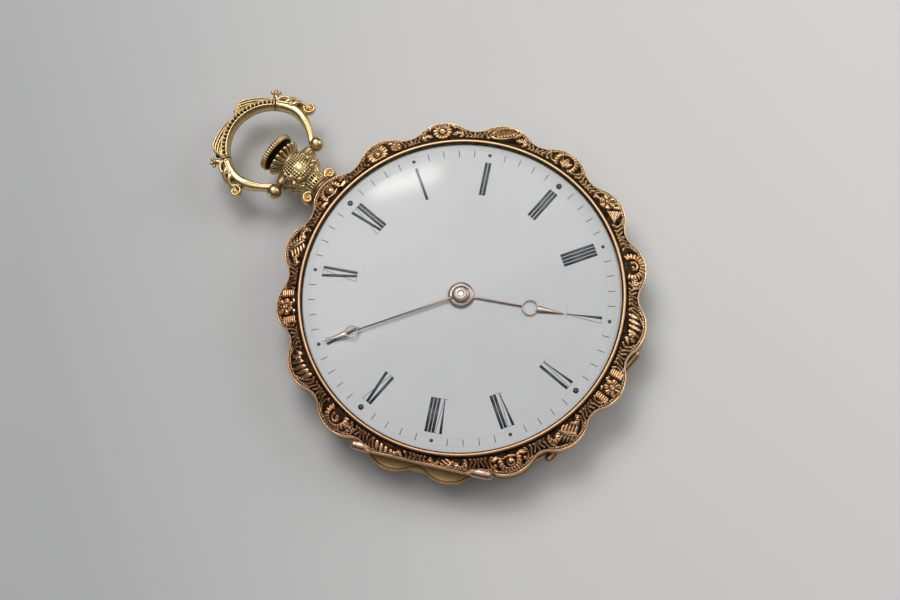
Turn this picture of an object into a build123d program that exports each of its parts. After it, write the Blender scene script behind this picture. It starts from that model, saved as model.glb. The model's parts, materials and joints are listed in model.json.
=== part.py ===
"""An open-face, key-wound dress watch with a scalloped gold case, modelled in millimetres.

Frame: the origin is the centre of the flat of the back cover, which is what the watch lies on.
+Z points from the back to the dial, and +Y from the centre to the pendant at twelve o'clock.
"""

from build123d import *

import os
from math import acos, atan2, cos, degrees, hypot, radians, sin

# ---------------------------------------------------------------- driving dimensions
LOBES = 17                      # scallops round the case, one of them under the pendant
TIP_R, VALLEY_R = 23.5, 22.2    # case outline over the scallops and between them
LOBE_R = 4.2                    # radius of one scallop
LOBE_DRIFT, DRIFT_FROM = 2.1, 51.4     # degrees: how unevenly the hand-made scallops are spaced
DIAL_R = 20.0
PLATE_R, PLATE_FLANGE_R = 19.2, 19.6   # movement plate, a 17-line movement
BORE_R, LEDGE_R, LEDGE_Z = 19.3, 19.7, 5.3
BAND_INSET, BACK_INSET = 0.6, 0.15     # how far the band and back stand inside the bezel outline

# Heights above the flat of the back cover, from the back to the crystal.
BACK_SKIN, BACK_FLAT_R, BACK_WALL_R = 0.5, 16.0, 21.4
BACK_RIM_LOW, BACK_RIM_HIGH = 3.05, 3.65
BAND_LOW, BAND_HIGH = 3.75, 5.72
BEZEL_LOW, BEZEL_EDGE, BEZEL_SHOULDER, BEZEL_TOP = 5.8, 6.0, 7.2, 7.55
BEZEL_INNER_R, GLASS_R, GLASS_SEAT = 20.1, 20.35, 7.03
CUVETTE_LOW, CUVETTE_HIGH, CUVETTE_R = 0.85, 1.15, 20.6
REGULATOR_LOW, REGULATOR_HIGH = 1.25, 1.42
COCK_LOW, COCK_HIGH = 1.45, 1.8
BAR_LOW, BAR_HIGH = 1.75, 2.5
HAIRSPRING_LOW, HAIRSPRING_HIGH = 1.88, 2.02
BALANCE_LOW, BALANCE_HIGH = 2.12, 2.5
ESCAPE_COCK_LOW, ESCAPE_COCK_HIGH = 2.58, 2.85
PLATE_LOW, PLATE_HIGH = 4.6, 5.7
DIAL_LOW, DIAL_HIGH = 6.4, 7.0
HOUR_HAND_LOW, MINUTE_HAND_LOW, HAND_THICK = 7.15, 7.46, 0.12
CRYSTAL_INSIDE, CRYSTAL_TOP = 8.45, 9.05

# Pendant, bow and push button: distances along +Y from the centre.
PENDANT_Z = 4.6
PENDANT_FOOT_Y, PENDANT_TOP_Y = 23.65, 30.45
PIVOT_Y, PIVOT_X = 28.25, 4.17
BOW_CENTRE_Y, BOW_INNER_R, BOW_WIDTH, BOW_THICK, BOW_GAP = 32.65, 5.35, 1.3, 1.7, 87.0
BALL_R, BOSS_R, BOSS_END = 0.98, 0.95, 3.14
BUTTON_Y, BUTTON_R, BUTTON_THICK = 31.55, 2.7, 0.9
STEM_R, STEM_END_Y, BUTTON_TRAVEL = 0.7, 21.15, 0.55
BOW_SCREW_R, BOW_SCREW_HEAD_R = 0.32, 0.6

# Lock spring: a curved leaf in a slot of the band, from twelve o'clock to its screw.
SLOT_IN, SLOT_OUT, SLOT_TOP = 20.7, 21.35, 5.35
SPRING_IN, SPRING_OUT, SPRING_LOW, SPRING_HIGH = 20.85, 21.1, 3.9, 5.2
SPRING_FROM, SPRING_TO = 86.0, 128.0
NOSE_LOW, NOSE_HIGH, NOSE_R = 3.1, 3.3, 21.6

# Hinges: distance of each axis from the centre, and the bezel hinge's clock position.
HINGE_REACH, HINGE_TUBE_R, HINGE_PIN_R, HINGE_HALF, CAP_END = 21.2, 0.6, 0.25, 8.5, 9.2
BEZEL_HINGE_Z, BEZEL_HINGE_CLOCK = 5.76, 360 * 11.5 / LOBES
BACK_HINGE_Z, BACK_HINGE_CLOCK = 3.7, 180.0
BEZEL_TUBE = 4.4                       # the bezel owns the middle tube of its hinge
BACK_TUBE_IN, BACK_TUBE_OUT = 1.6, 5.0  # the back cover owns the tubes beside the middle one
CUVETTE_TUBE = 1.55                    # the dust cover owns the middle tube of the back hinge
RUN, GAP = 0.03, 0.05                  # running fit, and clearance between moving faces

# Hands: clock directions in degrees, lengths, and the moon ring of each.
HOUR_CLOCK, HOUR_LENGTH, HOUR_RING_AT, HOUR_RING_R = 151.5, 13.1, 8.75, 1.03
MINUTE_CLOCK, MINUTE_LENGTH, MINUTE_RING_AT, MINUTE_RING_R = 301.2, 18.2, 14.4, 0.82

# Trains: teeth and module of each mesh, wheel first.
BARREL_TEETH, CENTRE_LEAVES, BARREL_MODULE = 80, 10, 0.20
CENTRE_TEETH, THIRD_LEAVES, CENTRE_MODULE = 64, 8, 0.15
THIRD_TEETH, FOURTH_LEAVES, THIRD_MODULE = 60, 8, 0.14
FOURTH_TEETH, ESCAPE_LEAVES, FOURTH_MODULE = 60, 6, 0.13
ESCAPE_TEETH, ESCAPE_PATH_R = 15, 3.3
CANNON_LEAVES, MINUTE_TEETH, CANNON_MODULE = 12, 36, 0.125
MINUTE_LEAVES, HOUR_TEETH, HOUR_MODULE = 10, 40, 0.12
RATCHET_TEETH, RATCHET_R, CLICK_REACH, CLICK_TURN = 24, 2.4, 4.3, 70.0
BALANCE_R, CYLINDER_R = 5.9, 0.34
PIVOT_R, PIVOT_HOLE_R, ARBOR_R, JEWEL_R = 0.12, 0.15, 0.25, 0.5
CENTRE_BORE_R, SET_ARBOR_R, SET_SQUARE = 0.24, 0.22, 0.7
DIAL_FOOT_R, BARREL_HOLE_R, WINDING_SQUARE = 0.45, 0.63, 0.95
SPRING_SCREW_R, CLICK_SCREW_R = 0.25, 0.2
SCREW_R, SCREW_HEAD_R, SCREW_HEAD, SCREW_END = 0.35, 0.7, 0.25, 5.2


def polar(reach, angle, start=(0.0, 0.0)):
    """The point at a distance and a counter-clockwise angle in degrees from start."""
    return (start[0] + reach * cos(radians(angle)), start[1] + reach * sin(radians(angle)))


def bearing(start, end):
    """The counter-clockwise angle in degrees from start to end."""
    return degrees(atan2(end[1] - start[1], end[0] - start[0]))


def mesh_distance(teeth, leaves, module):
    return (teeth + leaves) * module / 2


# Arbor positions: each wheel stands one mesh distance from the pinion that it drives.
CENTRE = (0.0, 0.0)
BARREL_AT = polar(mesh_distance(BARREL_TEETH, CENTRE_LEAVES, BARREL_MODULE), 130)
THIRD_AT = polar(mesh_distance(CENTRE_TEETH, THIRD_LEAVES, CENTRE_MODULE), 0)
FOURTH_AT = polar(mesh_distance(THIRD_TEETH, FOURTH_LEAVES, THIRD_MODULE), -35, THIRD_AT)
BALANCE_AT = polar(12.2, -52)
ESCAPE_REACH = mesh_distance(FOURTH_TEETH, ESCAPE_LEAVES, FOURTH_MODULE)
BALANCE_REACH = hypot(BALANCE_AT[0] - FOURTH_AT[0], BALANCE_AT[1] - FOURTH_AT[1])
ESCAPE_TURN = degrees(acos(
    (ESCAPE_REACH**2 + BALANCE_REACH**2 - ESCAPE_PATH_R**2) / (2 * ESCAPE_REACH * BALANCE_REACH)
))
ESCAPE_AT = polar(ESCAPE_REACH, bearing(FOURTH_AT, BALANCE_AT) + ESCAPE_TURN, FOURTH_AT)
MINUTE_WHEEL_AT = polar(mesh_distance(MINUTE_TEETH, CANNON_LEAVES, CANNON_MODULE), 60)

# Feet of the bridges and cocks, where each is screwed to the plate.
BARREL_FEET = [polar(16.2, 94), polar(16.2, 166)]
CENTRE_FOOT, THIRD_FOOT, FOURTH_FOOT = polar(15.0, 225), polar(16.0, 28), polar(16.3, 2)
ESCAPE_FOOT, BALANCE_FOOT = polar(16.4, -28), polar(14.6, -90)
CASE_SCREWS_AT = [polar(18.75, 55), polar(18.75, 235)]
DIAL_FEET_AT = [polar(17.0, 50), polar(17.0, 132), polar(17.0, 256)]
CLICK_AT = polar(CLICK_REACH, CLICK_TURN, BARREL_AT)


# ---------------------------------------------------------------- shape helpers
def disc(radius, low, high, at=CENTRE):
    """A plain cylinder along Z between two heights."""
    return Pos(at[0], at[1], low) * Cylinder(
        radius, high - low, align=(Align.CENTER, Align.CENTER, Align.MIN)
    )


def ring(outer, inner, low, high, at=CENTRE):
    return disc(outer, low, high, at) - disc(inner, low - 1, high + 1, at)


def block(low, high):
    """A box between two opposite corners."""
    size = [b - a for a, b in zip(low, high)]
    middle = [(a + b) / 2 for a, b in zip(low, high)]
    return Pos(*middle) * Box(*size)


def rod_x(radius, start, end, y, z):
    """A cylinder along X."""
    return Pos((start + end) / 2, y, z) * Rot(Y=90) * Cylinder(radius, abs(end - start))


def slab(width, low, high, start, end):
    """A flat bar from start to end, with half-round ends beyond them."""
    middle = [(a + b) / 2 for a, b in zip(start, end)]
    length = hypot(end[0] - start[0], end[1] - start[1])
    bar = Pos(middle[0], middle[1], (low + high) / 2) * Rot(Z=bearing(start, end))
    bar = bar * Box(length, width, high - low)
    return bar + disc(width / 2, low, high, start) + disc(width / 2, low, high, end)


def outline(runs):
    """A face whose edge is a list of (start, end) lines and (start, middle, end) arcs."""
    edges = [
        Edge.make_three_point_arc(*[Vector(*point) for point in run])
        if len(run) == 3
        else Edge.make_line(Vector(*run[0]), Vector(*run[1]))
        for run in runs
    ]
    return Face(Wire(edges))


def polygon(points):
    return outline([(a, b) for a, b in zip(points, points[1:] + points[:1])])


def raised(face, low, high, at=CENTRE):
    return Pos(at[0], at[1], low) * extrude(face, high - low, dir=(0, 0, 1))


def turned(face):
    """A face of (radius, height) turned about Z."""
    return revolve(Plane.XZ * face, Axis.Z)


def turned_on_pendant(face):
    """A face of (radius, distance along +Y) turned about the pendant axis."""
    return Pos(0, 0, PENDANT_Z) * Rot(X=-90) * turned(face)


def sector(start, end, low, high, reach=30.0):
    """A wedge of a disc between two angles, under half a turn apart."""
    points = [(0, 0)] + [polar(reach, start + (end - start) * k / 4) for k in range(5)]
    return raised(polygon(points), low, high)


def lobe_clock(k):
    """The clock direction of a scallop's tip, in degrees: the first stands under the pendant."""
    even = 360 * k / LOBES
    return even + LOBE_DRIFT * (sin(radians(even - DRIFT_FROM)) + sin(radians(DRIFT_FROM)))


def scalloped(inset, low, high):
    """The case outline as a prism, moved in by inset: round scallops joined by tangent hollows."""
    tip, valley, lobe = TIP_R - inset, VALLEY_R - inset, LOBE_R - inset
    reach = tip - lobe

    def hollow_between(first, second):
        """The hollow's arc between two scallops: where it starts, its lowest point and its end."""
        middle, half = (first + second) / 2, abs(second - first) / 2
        cosine = cos(radians(half))
        hollow = (reach**2 + valley**2 - 2 * reach * valley * cosine - lobe**2) / (
            2 * (lobe - valley + reach * cosine)
        )
        share = lobe / (lobe + hollow)
        far = polar(valley + hollow, middle)
        ends = []
        for angle in (first, second):
            near = polar(reach, angle)
            ends.append((near[0] + (far[0] - near[0]) * share, near[1] + (far[1] - near[1]) * share))
        return ends[0], polar(valley, middle), ends[1]

    tips = [90 - lobe_clock(k) for k in range(LOBES + 1)]
    hollows = [hollow_between(a, b) for a, b in zip(tips, tips[1:])]
    runs = []
    for k, run in enumerate(hollows):
        runs.append((hollows[k - 1][2], polar(tip, tips[k]), run[0]))
        runs.append(run)
    return raised(outline(runs), low, high)


def toothed(teeth, module, phase, width, addendum, dedendum):
    """A gear face with radial flanks and one arc over each tip, a tooth centred on phase.

    width is the tooth's share of the pitch, and addendum and dedendum are in modules.
    """
    pitch_r = teeth * module / 2
    tip_r, root_r = pitch_r + addendum * module, pitch_r - dedendum * module
    pitch = 360 / teeth
    half = pitch * width / 2
    runs = []
    for k in range(teeth):
        a = phase + pitch * k
        foot, flank = polar(root_r, a - half), polar(pitch_r, a - half)
        far_flank, far_foot = polar(pitch_r, a + half), polar(root_r, a + half)
        runs += [
            (foot, flank),
            (flank, polar(tip_r, a), far_flank),
            (far_flank, far_foot),
            (far_foot, polar(root_r, a + pitch - half)),
        ]
    return outline(runs)


def wheel_face(teeth, module, phase):
    return toothed(teeth, module, phase, 0.46, 1.1, 1.5)


def pinion_face(leaves, module, phase):
    return toothed(leaves, module, phase, 0.36, 0.7, 1.5)


def crossed(face, hub_r, rim_r, spokes, width, turn=0):
    """Cuts the windows between a wheel's spokes."""
    window = Circle(rim_r) - Circle(hub_r)
    for k in range(spokes):
        window -= Rot(Z=turn + 360 * k / spokes) * Pos(rim_r / 2, 0) * Rectangle(rim_r, width)
    return face - window


def coil_face(start_r, pitch, half_turns, thick):
    """A flat spiral strip of half circles, each half a pitch larger than the last."""
    outer, inner = [], []
    for k in range(half_turns):
        side = 1 if k % 2 == 0 else -1
        middle = 0 if k % 2 == 0 else pitch / 2
        for edge, offset in ((outer, thick / 2), (inner, -thick / 2)):
            r = start_r + pitch * k / 2 + offset
            edge.append(((middle + side * r, 0), (middle, side * r), (middle - side * r, 0)))
    outer_end, inner_end = (outer[-1][2], inner[-1][2]), (inner[0][0], outer[0][0])
    return outline(outer + [outer_end] + [run[::-1] for run in inner[::-1]] + [inner_end])


def square_rod(side, low, high, at=CENTRE):
    return block((at[0] - side / 2, at[1] - side / 2, low), (at[0] + side / 2, at[1] + side / 2, high))


# ---------------------------------------------------------------- hinges
# Each hinge is drawn at six o'clock and turned to its own place.
def hinge_turn(clock):
    return Rot(Z=180 - clock)


def both_sides(radius, start, end, z):
    return rod_x(radius, start, end, -HINGE_REACH, z) + rod_x(radius, -end, -start, -HINGE_REACH, z)


def whole_width(radius, half, z):
    return rod_x(radius, -half, half, -HINGE_REACH, z)


def pin_bore(z):
    return whole_width(HINGE_PIN_R + RUN, CAP_END, z)


def chord_cut(low, high):
    """Everything outside the chord that a hinge axis lies on."""
    return block((-20, -HINGE_REACH - 9, low), (20, -HINGE_REACH, high))


def hinge_pin(clock, z):
    """The pin with a domed cap at each end, which closes the outer tubes."""
    pin = whole_width(HINGE_PIN_R, HINGE_HALF, z)
    for side in (-1, 1):
        cap = Pos(side * HINGE_HALF, -HINGE_REACH, z) * Sphere(HINGE_TUBE_R)
        pin += cap & (Pos(side * (HINGE_HALF + 1), -HINGE_REACH, z) * Box(2, 2, 2))
    return hinge_turn(clock) * pin


def make_bezel_hinge_pin():
    return hinge_pin(BEZEL_HINGE_CLOCK, BEZEL_HINGE_Z)


def make_back_hinge_pin():
    return hinge_pin(BACK_HINGE_CLOCK, BACK_HINGE_Z)


# ---------------------------------------------------------------- case
def make_case_band():
    band = scalloped(BAND_INSET, BAND_LOW, BAND_HIGH)
    band -= disc(BORE_R, BAND_LOW - 1, LEDGE_Z) + disc(LEDGE_R, LEDGE_Z - 0.1, BAND_HIGH + 1)
    slot = ring(SLOT_OUT, SLOT_IN, BAND_LOW - 1, SLOT_TOP)
    band -= slot & sector(SPRING_FROM - 2, SPRING_TO + 2, 0, 9)
    for at in CASE_SCREWS_AT:
        band -= disc(SCREW_HEAD_R + 0.3, BAND_LOW - 1, PLATE_LOW, at)
    for clock, z, moving in (
        (BEZEL_HINGE_CLOCK, BEZEL_HINGE_Z, BEZEL_TUBE),
        (BACK_HINGE_CLOCK, BACK_HINGE_Z, BACK_TUBE_OUT),
    ):
        turn = hinge_turn(clock)
        band -= turn * (chord_cut(0, 9) + both_sides(HINGE_TUBE_R + GAP, HINGE_HALF, CAP_END, z))
        band -= turn * whole_width(HINGE_TUBE_R + GAP, moving + GAP, z)
        band += turn * both_sides(HINGE_TUBE_R, moving + GAP, HINGE_HALF, z)
        band -= turn * pin_bore(z)
    # The stem passes through the outer wall and, pressed, into a blind hole behind the spring.
    hole_end = STEM_END_Y - BUTTON_TRAVEL - GAP
    band -= Pos(0, 0, PENDANT_Z) * Rot(X=-90) * disc(STEM_R + GAP, hole_end, 30)
    spring_screw = polar((SLOT_IN + SLOT_OUT) / 2, SPRING_TO - 3)
    return band - disc(SPRING_SCREW_R, BAND_LOW - 1, BAND_HIGH - 0.1, spring_screw)


def make_bezel():
    """The front ring: a sloping scalloped collar, a smooth bead, and the groove for the glass."""
    lip_r = TIP_R + 1
    section = polygon([
        (BEZEL_INNER_R, BEZEL_LOW), (lip_r, BEZEL_LOW), (lip_r, BEZEL_EDGE - 0.25),
        (TIP_R, BEZEL_EDGE), (BEZEL_INNER_R + 0.95, BEZEL_SHOULDER),
        (BEZEL_INNER_R + 0.75, BEZEL_TOP), (BEZEL_INNER_R, BEZEL_TOP),
    ])
    bezel = turned(section) & scalloped(0, BEZEL_LOW - 1, BEZEL_TOP + 1)
    bezel -= disc(GLASS_R + GAP, GLASS_SEAT, GLASS_SEAT + 0.37)
    cuts = chord_cut(0, 9) + both_sides(HINGE_TUBE_R + GAP, BEZEL_TUBE, CAP_END, BEZEL_HINGE_Z)
    turn = hinge_turn(BEZEL_HINGE_CLOCK)
    bezel -= turn * cuts
    bezel += turn * whole_width(HINGE_TUBE_R, BEZEL_TUBE, BEZEL_HINGE_Z)
    return bezel - turn * pin_bore(BEZEL_HINGE_Z)


def dome(edge, waist, shoulder, top_z):
    """The solid under a domed cap: a tight arc from its edge to its shoulder, then a sphere."""
    sag, half_r = top_z - shoulder[1], shoulder[0] / 2
    ball_r = (shoulder[0]**2 + sag**2) / (2 * sag)
    half_z = top_z - ball_r + (ball_r**2 - half_r**2) ** 0.5
    return turned(outline([
        ((0, 0), (edge[0], 0)), ((edge[0], 0), edge), (edge, waist, shoulder),
        (shoulder, (half_r, half_z), (0, top_z)), ((0, top_z), (0, 0)),
    ]))


def make_crystal():
    """The glass: a rim in the bezel's groove, a steep edge, and a low dome over the hands."""
    rim_low, rim_high = GLASS_SEAT + 0.02, GLASS_SEAT + 0.32
    shell = dome((20.0, rim_high), (19.62, 7.88), (18.7, 8.22), CRYSTAL_TOP)
    shell += disc(GLASS_R, rim_low, rim_high)
    shell -= disc(GLASS_R + 1, -1, rim_low)
    return shell - dome((19.5, rim_low), (19.2, 7.5), (18.5, 7.74), CRYSTAL_INSIDE)


def make_back_cover():
    skin = BACK_SKIN
    bowl = turned(outline([
        ((0, 0), (BACK_FLAT_R, 0)),
        ((BACK_FLAT_R, 0), (20.3, 0.98), (22.4, BACK_RIM_LOW)),
        ((22.4, BACK_RIM_LOW), (22.2, BACK_RIM_HIGH)),
        ((22.2, BACK_RIM_HIGH), (BACK_WALL_R, BACK_RIM_HIGH)),
        ((BACK_WALL_R, BACK_RIM_HIGH), (BACK_WALL_R, BACK_RIM_LOW)),
        ((BACK_WALL_R, BACK_RIM_LOW), (19.9, 1.45), (BACK_FLAT_R - 0.1, skin)),
        ((BACK_FLAT_R - 0.1, skin), (0, skin)),
        ((0, skin), (0, 0)),
    ]))
    cover = bowl + (
        scalloped(BACK_INSET, BACK_RIM_LOW, BACK_RIM_HIGH) - disc(BACK_WALL_R, 0, 9)
    )
    # The nose of the lock spring enters a short groove under the rim's lip.
    cover -= ring(NOSE_R + 0.1, BACK_WALL_R - 1, NOSE_LOW - 0.1, NOSE_HIGH + GAP) & sector(
        SPRING_FROM - 1.5, 97, 0, 9
    )
    z = BACK_HINGE_Z
    cover -= chord_cut(-1, 9)
    for side in (-1, 1):
        low, high = sorted((side * BACK_TUBE_IN, side * BACK_TUBE_OUT))
        cover += block((low, -HINGE_REACH, 2.0), (high, -HINGE_REACH + 0.45, BACK_RIM_HIGH - 0.03))
    cover -= both_sides(HINGE_TUBE_R + GAP, BACK_TUBE_OUT, CAP_END, z)
    cover -= whole_width(HINGE_TUBE_R + GAP, BACK_TUBE_IN, z)
    cover -= block((-BACK_TUBE_IN, -HINGE_REACH - 1, 3.0), (BACK_TUBE_IN, -20.0, 9))
    cover += both_sides(HINGE_TUBE_R, BACK_TUBE_IN, BACK_TUBE_OUT, z)
    return cover - pin_bore(z)


def make_cuvette():
    """The inner dust cover, with a hole for the key over the winding and hand-setting squares."""
    outer_r, inner_r, top = CUVETTE_R, CUVETTE_R - 0.3, BACK_RIM_HIGH
    cover = turned(outline([
        ((0, CUVETTE_LOW), (16.4, CUVETTE_LOW)),
        ((16.4, CUVETTE_LOW), (19.5, 1.65), (outer_r, 3.2)),
        ((outer_r, 3.2), (outer_r, top)),
        ((outer_r, top), (inner_r, top)),
        ((inner_r, top), (inner_r, 3.25)),
        ((inner_r, 3.25), (19.25, 1.9), (16.3, CUVETTE_HIGH)),
        ((16.3, CUVETTE_HIGH), (0, CUVETTE_HIGH)),
        ((0, CUVETTE_HIGH), (0, CUVETTE_LOW)),
    ]))
    cover -= disc(1.3, 0, 2, BARREL_AT) + disc(1.1, 0, 2)
    half, z = CUVETTE_TUBE, BACK_HINGE_Z
    cover += block((-half, -HINGE_REACH, 3.15), (half, -inner_r - 0.1, 3.6))
    cover += whole_width(HINGE_TUBE_R, half, z)
    return cover - pin_bore(z)


def make_lock_spring():
    leaf = ring(SPRING_OUT, SPRING_IN, SPRING_LOW, SPRING_HIGH) & sector(SPRING_FROM, SPRING_TO, 0, 9)
    fixed_end = ring(SLOT_OUT - 0.01, SLOT_IN + 0.01, SPRING_LOW, SPRING_HIGH)
    leaf += fixed_end & sector(SPRING_TO - 6, SPRING_TO, 0, 9)
    nose = ring(SPRING_OUT, SPRING_IN, NOSE_LOW, SPRING_LOW) + ring(NOSE_R, SPRING_IN, NOSE_LOW, NOSE_HIGH)
    leaf += nose & sector(SPRING_FROM, 95, 0, 9)
    return leaf - disc(SPRING_SCREW_R, 0, 9, polar((SLOT_IN + SLOT_OUT) / 2, SPRING_TO - 3))


def make_lock_spring_screw():
    at = polar((SLOT_IN + SLOT_OUT) / 2, SPRING_TO - 3)
    screw = disc(SPRING_SCREW_R, SPRING_LOW, BAND_HIGH - 0.15, at)
    return screw + disc(0.3, SPRING_LOW - 0.12, SPRING_LOW, at)


def make_pendant():
    profile = outline([
        ((0, PENDANT_FOOT_Y), (1.75, PENDANT_FOOT_Y)),
        ((1.75, PENDANT_FOOT_Y), (1.45, 24.3), (1.5, 25.2)),
        ((1.5, 25.2), (2.25, 27.0), (1.55, 29.3)),
        ((1.55, 29.3), (2.3, 30.1)),
        ((2.3, 30.1), (2.3, PENDANT_TOP_Y)),
        ((2.3, PENDANT_TOP_Y), (0, PENDANT_TOP_Y)),
        ((0, PENDANT_TOP_Y), (0, PENDANT_FOOT_Y)),
    ])
    pendant = turned_on_pendant(profile)
    foot = block((-1.7, 21.9, BAND_LOW + 0.05), (1.7, PENDANT_FOOT_Y + 0.3, BAND_HIGH - 0.05))
    pendant += foot - disc(22.0, 0, 9)
    pendant += rod_x(BOSS_R, -BOSS_END, BOSS_END, PIVOT_Y, PENDANT_Z)
    pendant -= scalloped(BAND_INSET, BAND_LOW, BAND_HIGH)
    pendant -= Pos(0, 0, PENDANT_Z) * Rot(X=-90) * disc(STEM_R + GAP, 20, 32)
    for side in (-1, 1):
        pendant -= rod_x(BOW_SCREW_R, side * 1.6, side * 5, PIVOT_Y, PENDANT_Z)
    return pendant


def make_push_button():
    edge = BUTTON_R - 0.15
    low, high = BUTTON_Y - BUTTON_THICK / 2, BUTTON_Y + BUTTON_THICK / 2
    cap = turned_on_pendant(outline([
        ((0, low), (edge, low)), ((edge, low), (BUTTON_R, low + 0.15)),
        ((BUTTON_R, low + 0.15), (BUTTON_R, high - 0.15)), ((BUTTON_R, high - 0.15), (edge, high)),
        ((edge, high), (0, high + 0.2)), ((0, high + 0.2), (0, low)),
    ]))
    return cap - Pos(0, 0, PENDANT_Z) * Rot(X=-90) * disc(STEM_R, low - 1, low + 0.5)


def make_button_stem():
    low = BUTTON_Y - BUTTON_THICK / 2
    return Pos(0, 0, PENDANT_Z) * Rot(X=-90) * disc(STEM_R, STEM_END_Y, low + 0.5)


def make_bow():
    """The oval-section ring, open at the foot, with a bored ball at each end."""
    mean_r = BOW_INNER_R + BOW_WIDTH / 2
    section = Plane.XZ * Pos(mean_r, 0) * Ellipse(BOW_WIDTH / 2, BOW_THICK / 2)
    bow = Rot(Z=BOW_GAP / 2 - 90) * revolve(section, Axis.Z, revolution_arc=360 - BOW_GAP)
    bow = Pos(0, BOW_CENTRE_Y, PENDANT_Z) * bow
    for side in (-1, 1):
        bow += Pos(side * PIVOT_X, PIVOT_Y, PENDANT_Z) * Rot(Y=90) * Sphere(BALL_R)
    for side in (-1, 1):
        inner, outer = side * (BOSS_END + GAP), side * 6
        bow -= block((min(0, inner), PIVOT_Y - 2, 2), (max(0, inner), PIVOT_Y + 2, 7))
        bow -= rod_x(BOW_SCREW_R + RUN, 0, outer, PIVOT_Y, PENDANT_Z)
        bow -= rod_x(BOW_SCREW_HEAD_R + RUN, side * (PIVOT_X + 0.45), outer, PIVOT_Y, PENDANT_Z)
    return bow


def make_bow_screws():
    screws = []
    for side in (-1, 1):
        seat = side * (PIVOT_X + 0.47)
        screw = rod_x(BOW_SCREW_R, side * 1.65, seat, PIVOT_Y, PENDANT_Z)
        screw += rod_x(BOW_SCREW_HEAD_R, seat, seat + side * 0.3, PIVOT_Y, PENDANT_Z)
        slot = Pos(seat + side * 0.3, PIVOT_Y, PENDANT_Z) * Box(0.24, 2, 0.16)
        screws.append(screw - slot)
    return screws


# ---------------------------------------------------------------- dial, hands and motion work
def make_dial():
    blank = disc(DIAL_R, DIAL_LOW, DIAL_HIGH) - disc(1.15, 0, 9)
    return blank.chamfer(0.12, None, blank.edges().filter_by(GeomType.CIRCLE).sort_by(Axis.Z)[-1:])


def make_dial_feet():
    return [disc(DIAL_FOOT_R, PLATE_LOW + 0.1, DIAL_LOW, at) for at in DIAL_FEET_AT]


def hand(clock, length, ring_at, ring_r, hub_r, bore_r, low, high):
    """A hand with a hollow moon and a tapering head, drawn towards twelve and turned."""
    blade = polygon([
        (-0.2, 0), (0.2, 0), (0.15, ring_at - ring_r + 0.1), (-0.15, ring_at - ring_r + 0.1)
    ])
    head = polygon([
        (-0.16, ring_at + ring_r - 0.1), (0.16, ring_at + ring_r - 0.1),
        (0.5, ring_at + ring_r + 0.75), (0.05, length), (-0.05, length),
        (-0.5, ring_at + ring_r + 0.75),
    ])
    body = raised(blade, low, high) + raised(head, low, high)
    body += ring(ring_r, ring_r - 0.34, low, high, (0, ring_at)) + disc(hub_r, low, high)
    return Rot(Z=-clock) * (body - disc(bore_r, low - 1, high + 1))


def make_hour_hand():
    hub_r, bore_r, low = 1.65, 1.0, HOUR_HAND_LOW
    return hand(
        HOUR_CLOCK, HOUR_LENGTH, HOUR_RING_AT, HOUR_RING_R, hub_r, bore_r, low, low + HAND_THICK
    )


def make_minute_hand():
    hub_r, bore_r, low = 1.15, 0.6, MINUTE_HAND_LOW
    blade = hand(
        MINUTE_CLOCK, MINUTE_LENGTH, MINUTE_RING_AT, MINUTE_RING_R, hub_r, bore_r, low, low + HAND_THICK
    )
    return blade + ring(1.0, bore_r, low, low + 0.45)


def make_cannon_pinion():
    face = pinion_face(CANNON_LEAVES, CANNON_MODULE, 60 + 180 / CANNON_LEAVES)
    pinion = raised(face, 5.78, 6.03) + disc(0.6, 5.78, MINUTE_HAND_LOW + 0.4)
    return pinion - disc(SET_ARBOR_R, 0, 9)


def make_minute_wheel():
    at = MINUTE_WHEEL_AT
    wheel = raised(wheel_face(MINUTE_TEETH, CANNON_MODULE, 240), 5.8, 6.0, at)
    leaves = pinion_face(MINUTE_LEAVES, HOUR_MODULE, 240 + 180 / MINUTE_LEAVES)
    return wheel + raised(leaves, 6.0, 6.32, at) - disc(0.25 + RUN, 0, 9, at)


def make_hour_wheel():
    face = crossed(wheel_face(HOUR_TEETH, HOUR_MODULE, 60), 1.2, 1.9, 4, 0.45)
    wheel = raised(face, 6.1, 6.3) + disc(1.0, 6.1, HOUR_HAND_LOW + 0.25)
    return wheel - disc(0.63, 0, 9)


def make_set_hands_arbor():
    arbor = disc(SET_ARBOR_R, 1.7, MINUTE_HAND_LOW + 0.52)
    return arbor + square_rod(SET_SQUARE, 0.95, 1.5) + disc(0.42, 1.5, BAR_LOW + 0.02)


# ---------------------------------------------------------------- movement plates
def make_main_plate():
    plate = disc(PLATE_R, PLATE_LOW, PLATE_HIGH) + disc(PLATE_FLANGE_R, LEDGE_Z, PLATE_HIGH)
    plate -= disc(0.48, 0, 9) + disc(BARREL_HOLE_R, 0, 5.1, BARREL_AT)
    for at in (THIRD_AT, FOURTH_AT, ESCAPE_AT, BALANCE_AT):
        plate -= disc(JEWEL_R, 0, PLATE_LOW + 0.35, at)
    for at in DIAL_FEET_AT:
        plate -= disc(DIAL_FOOT_R, 0, 9, at)
    for at in SCREW_PLACES:
        plate -= disc(SCREW_R, 0, SCREW_END, at)
    for at in CASE_SCREWS_AT:
        plate -= disc(SCREW_R, 0, SCREW_END, at)
    # The stud that the minute wheel turns on.
    return plate + disc(0.25, PLATE_HIGH - 0.2, 6.34, MINUTE_WHEEL_AT)


def bar(width, arbor_at, foot_at, foot_r, boss_r):
    """A bridge with one foot: an arm over the train and a pillar down to the plate."""
    shape = slab(width, BAR_LOW, BAR_HIGH, arbor_at, foot_at) + disc(boss_r, BAR_LOW, BAR_HIGH, arbor_at)
    shape += disc(foot_r, BAR_LOW, PLATE_LOW, foot_at)
    return shape - disc(SCREW_R, 0, 9, foot_at)


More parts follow.
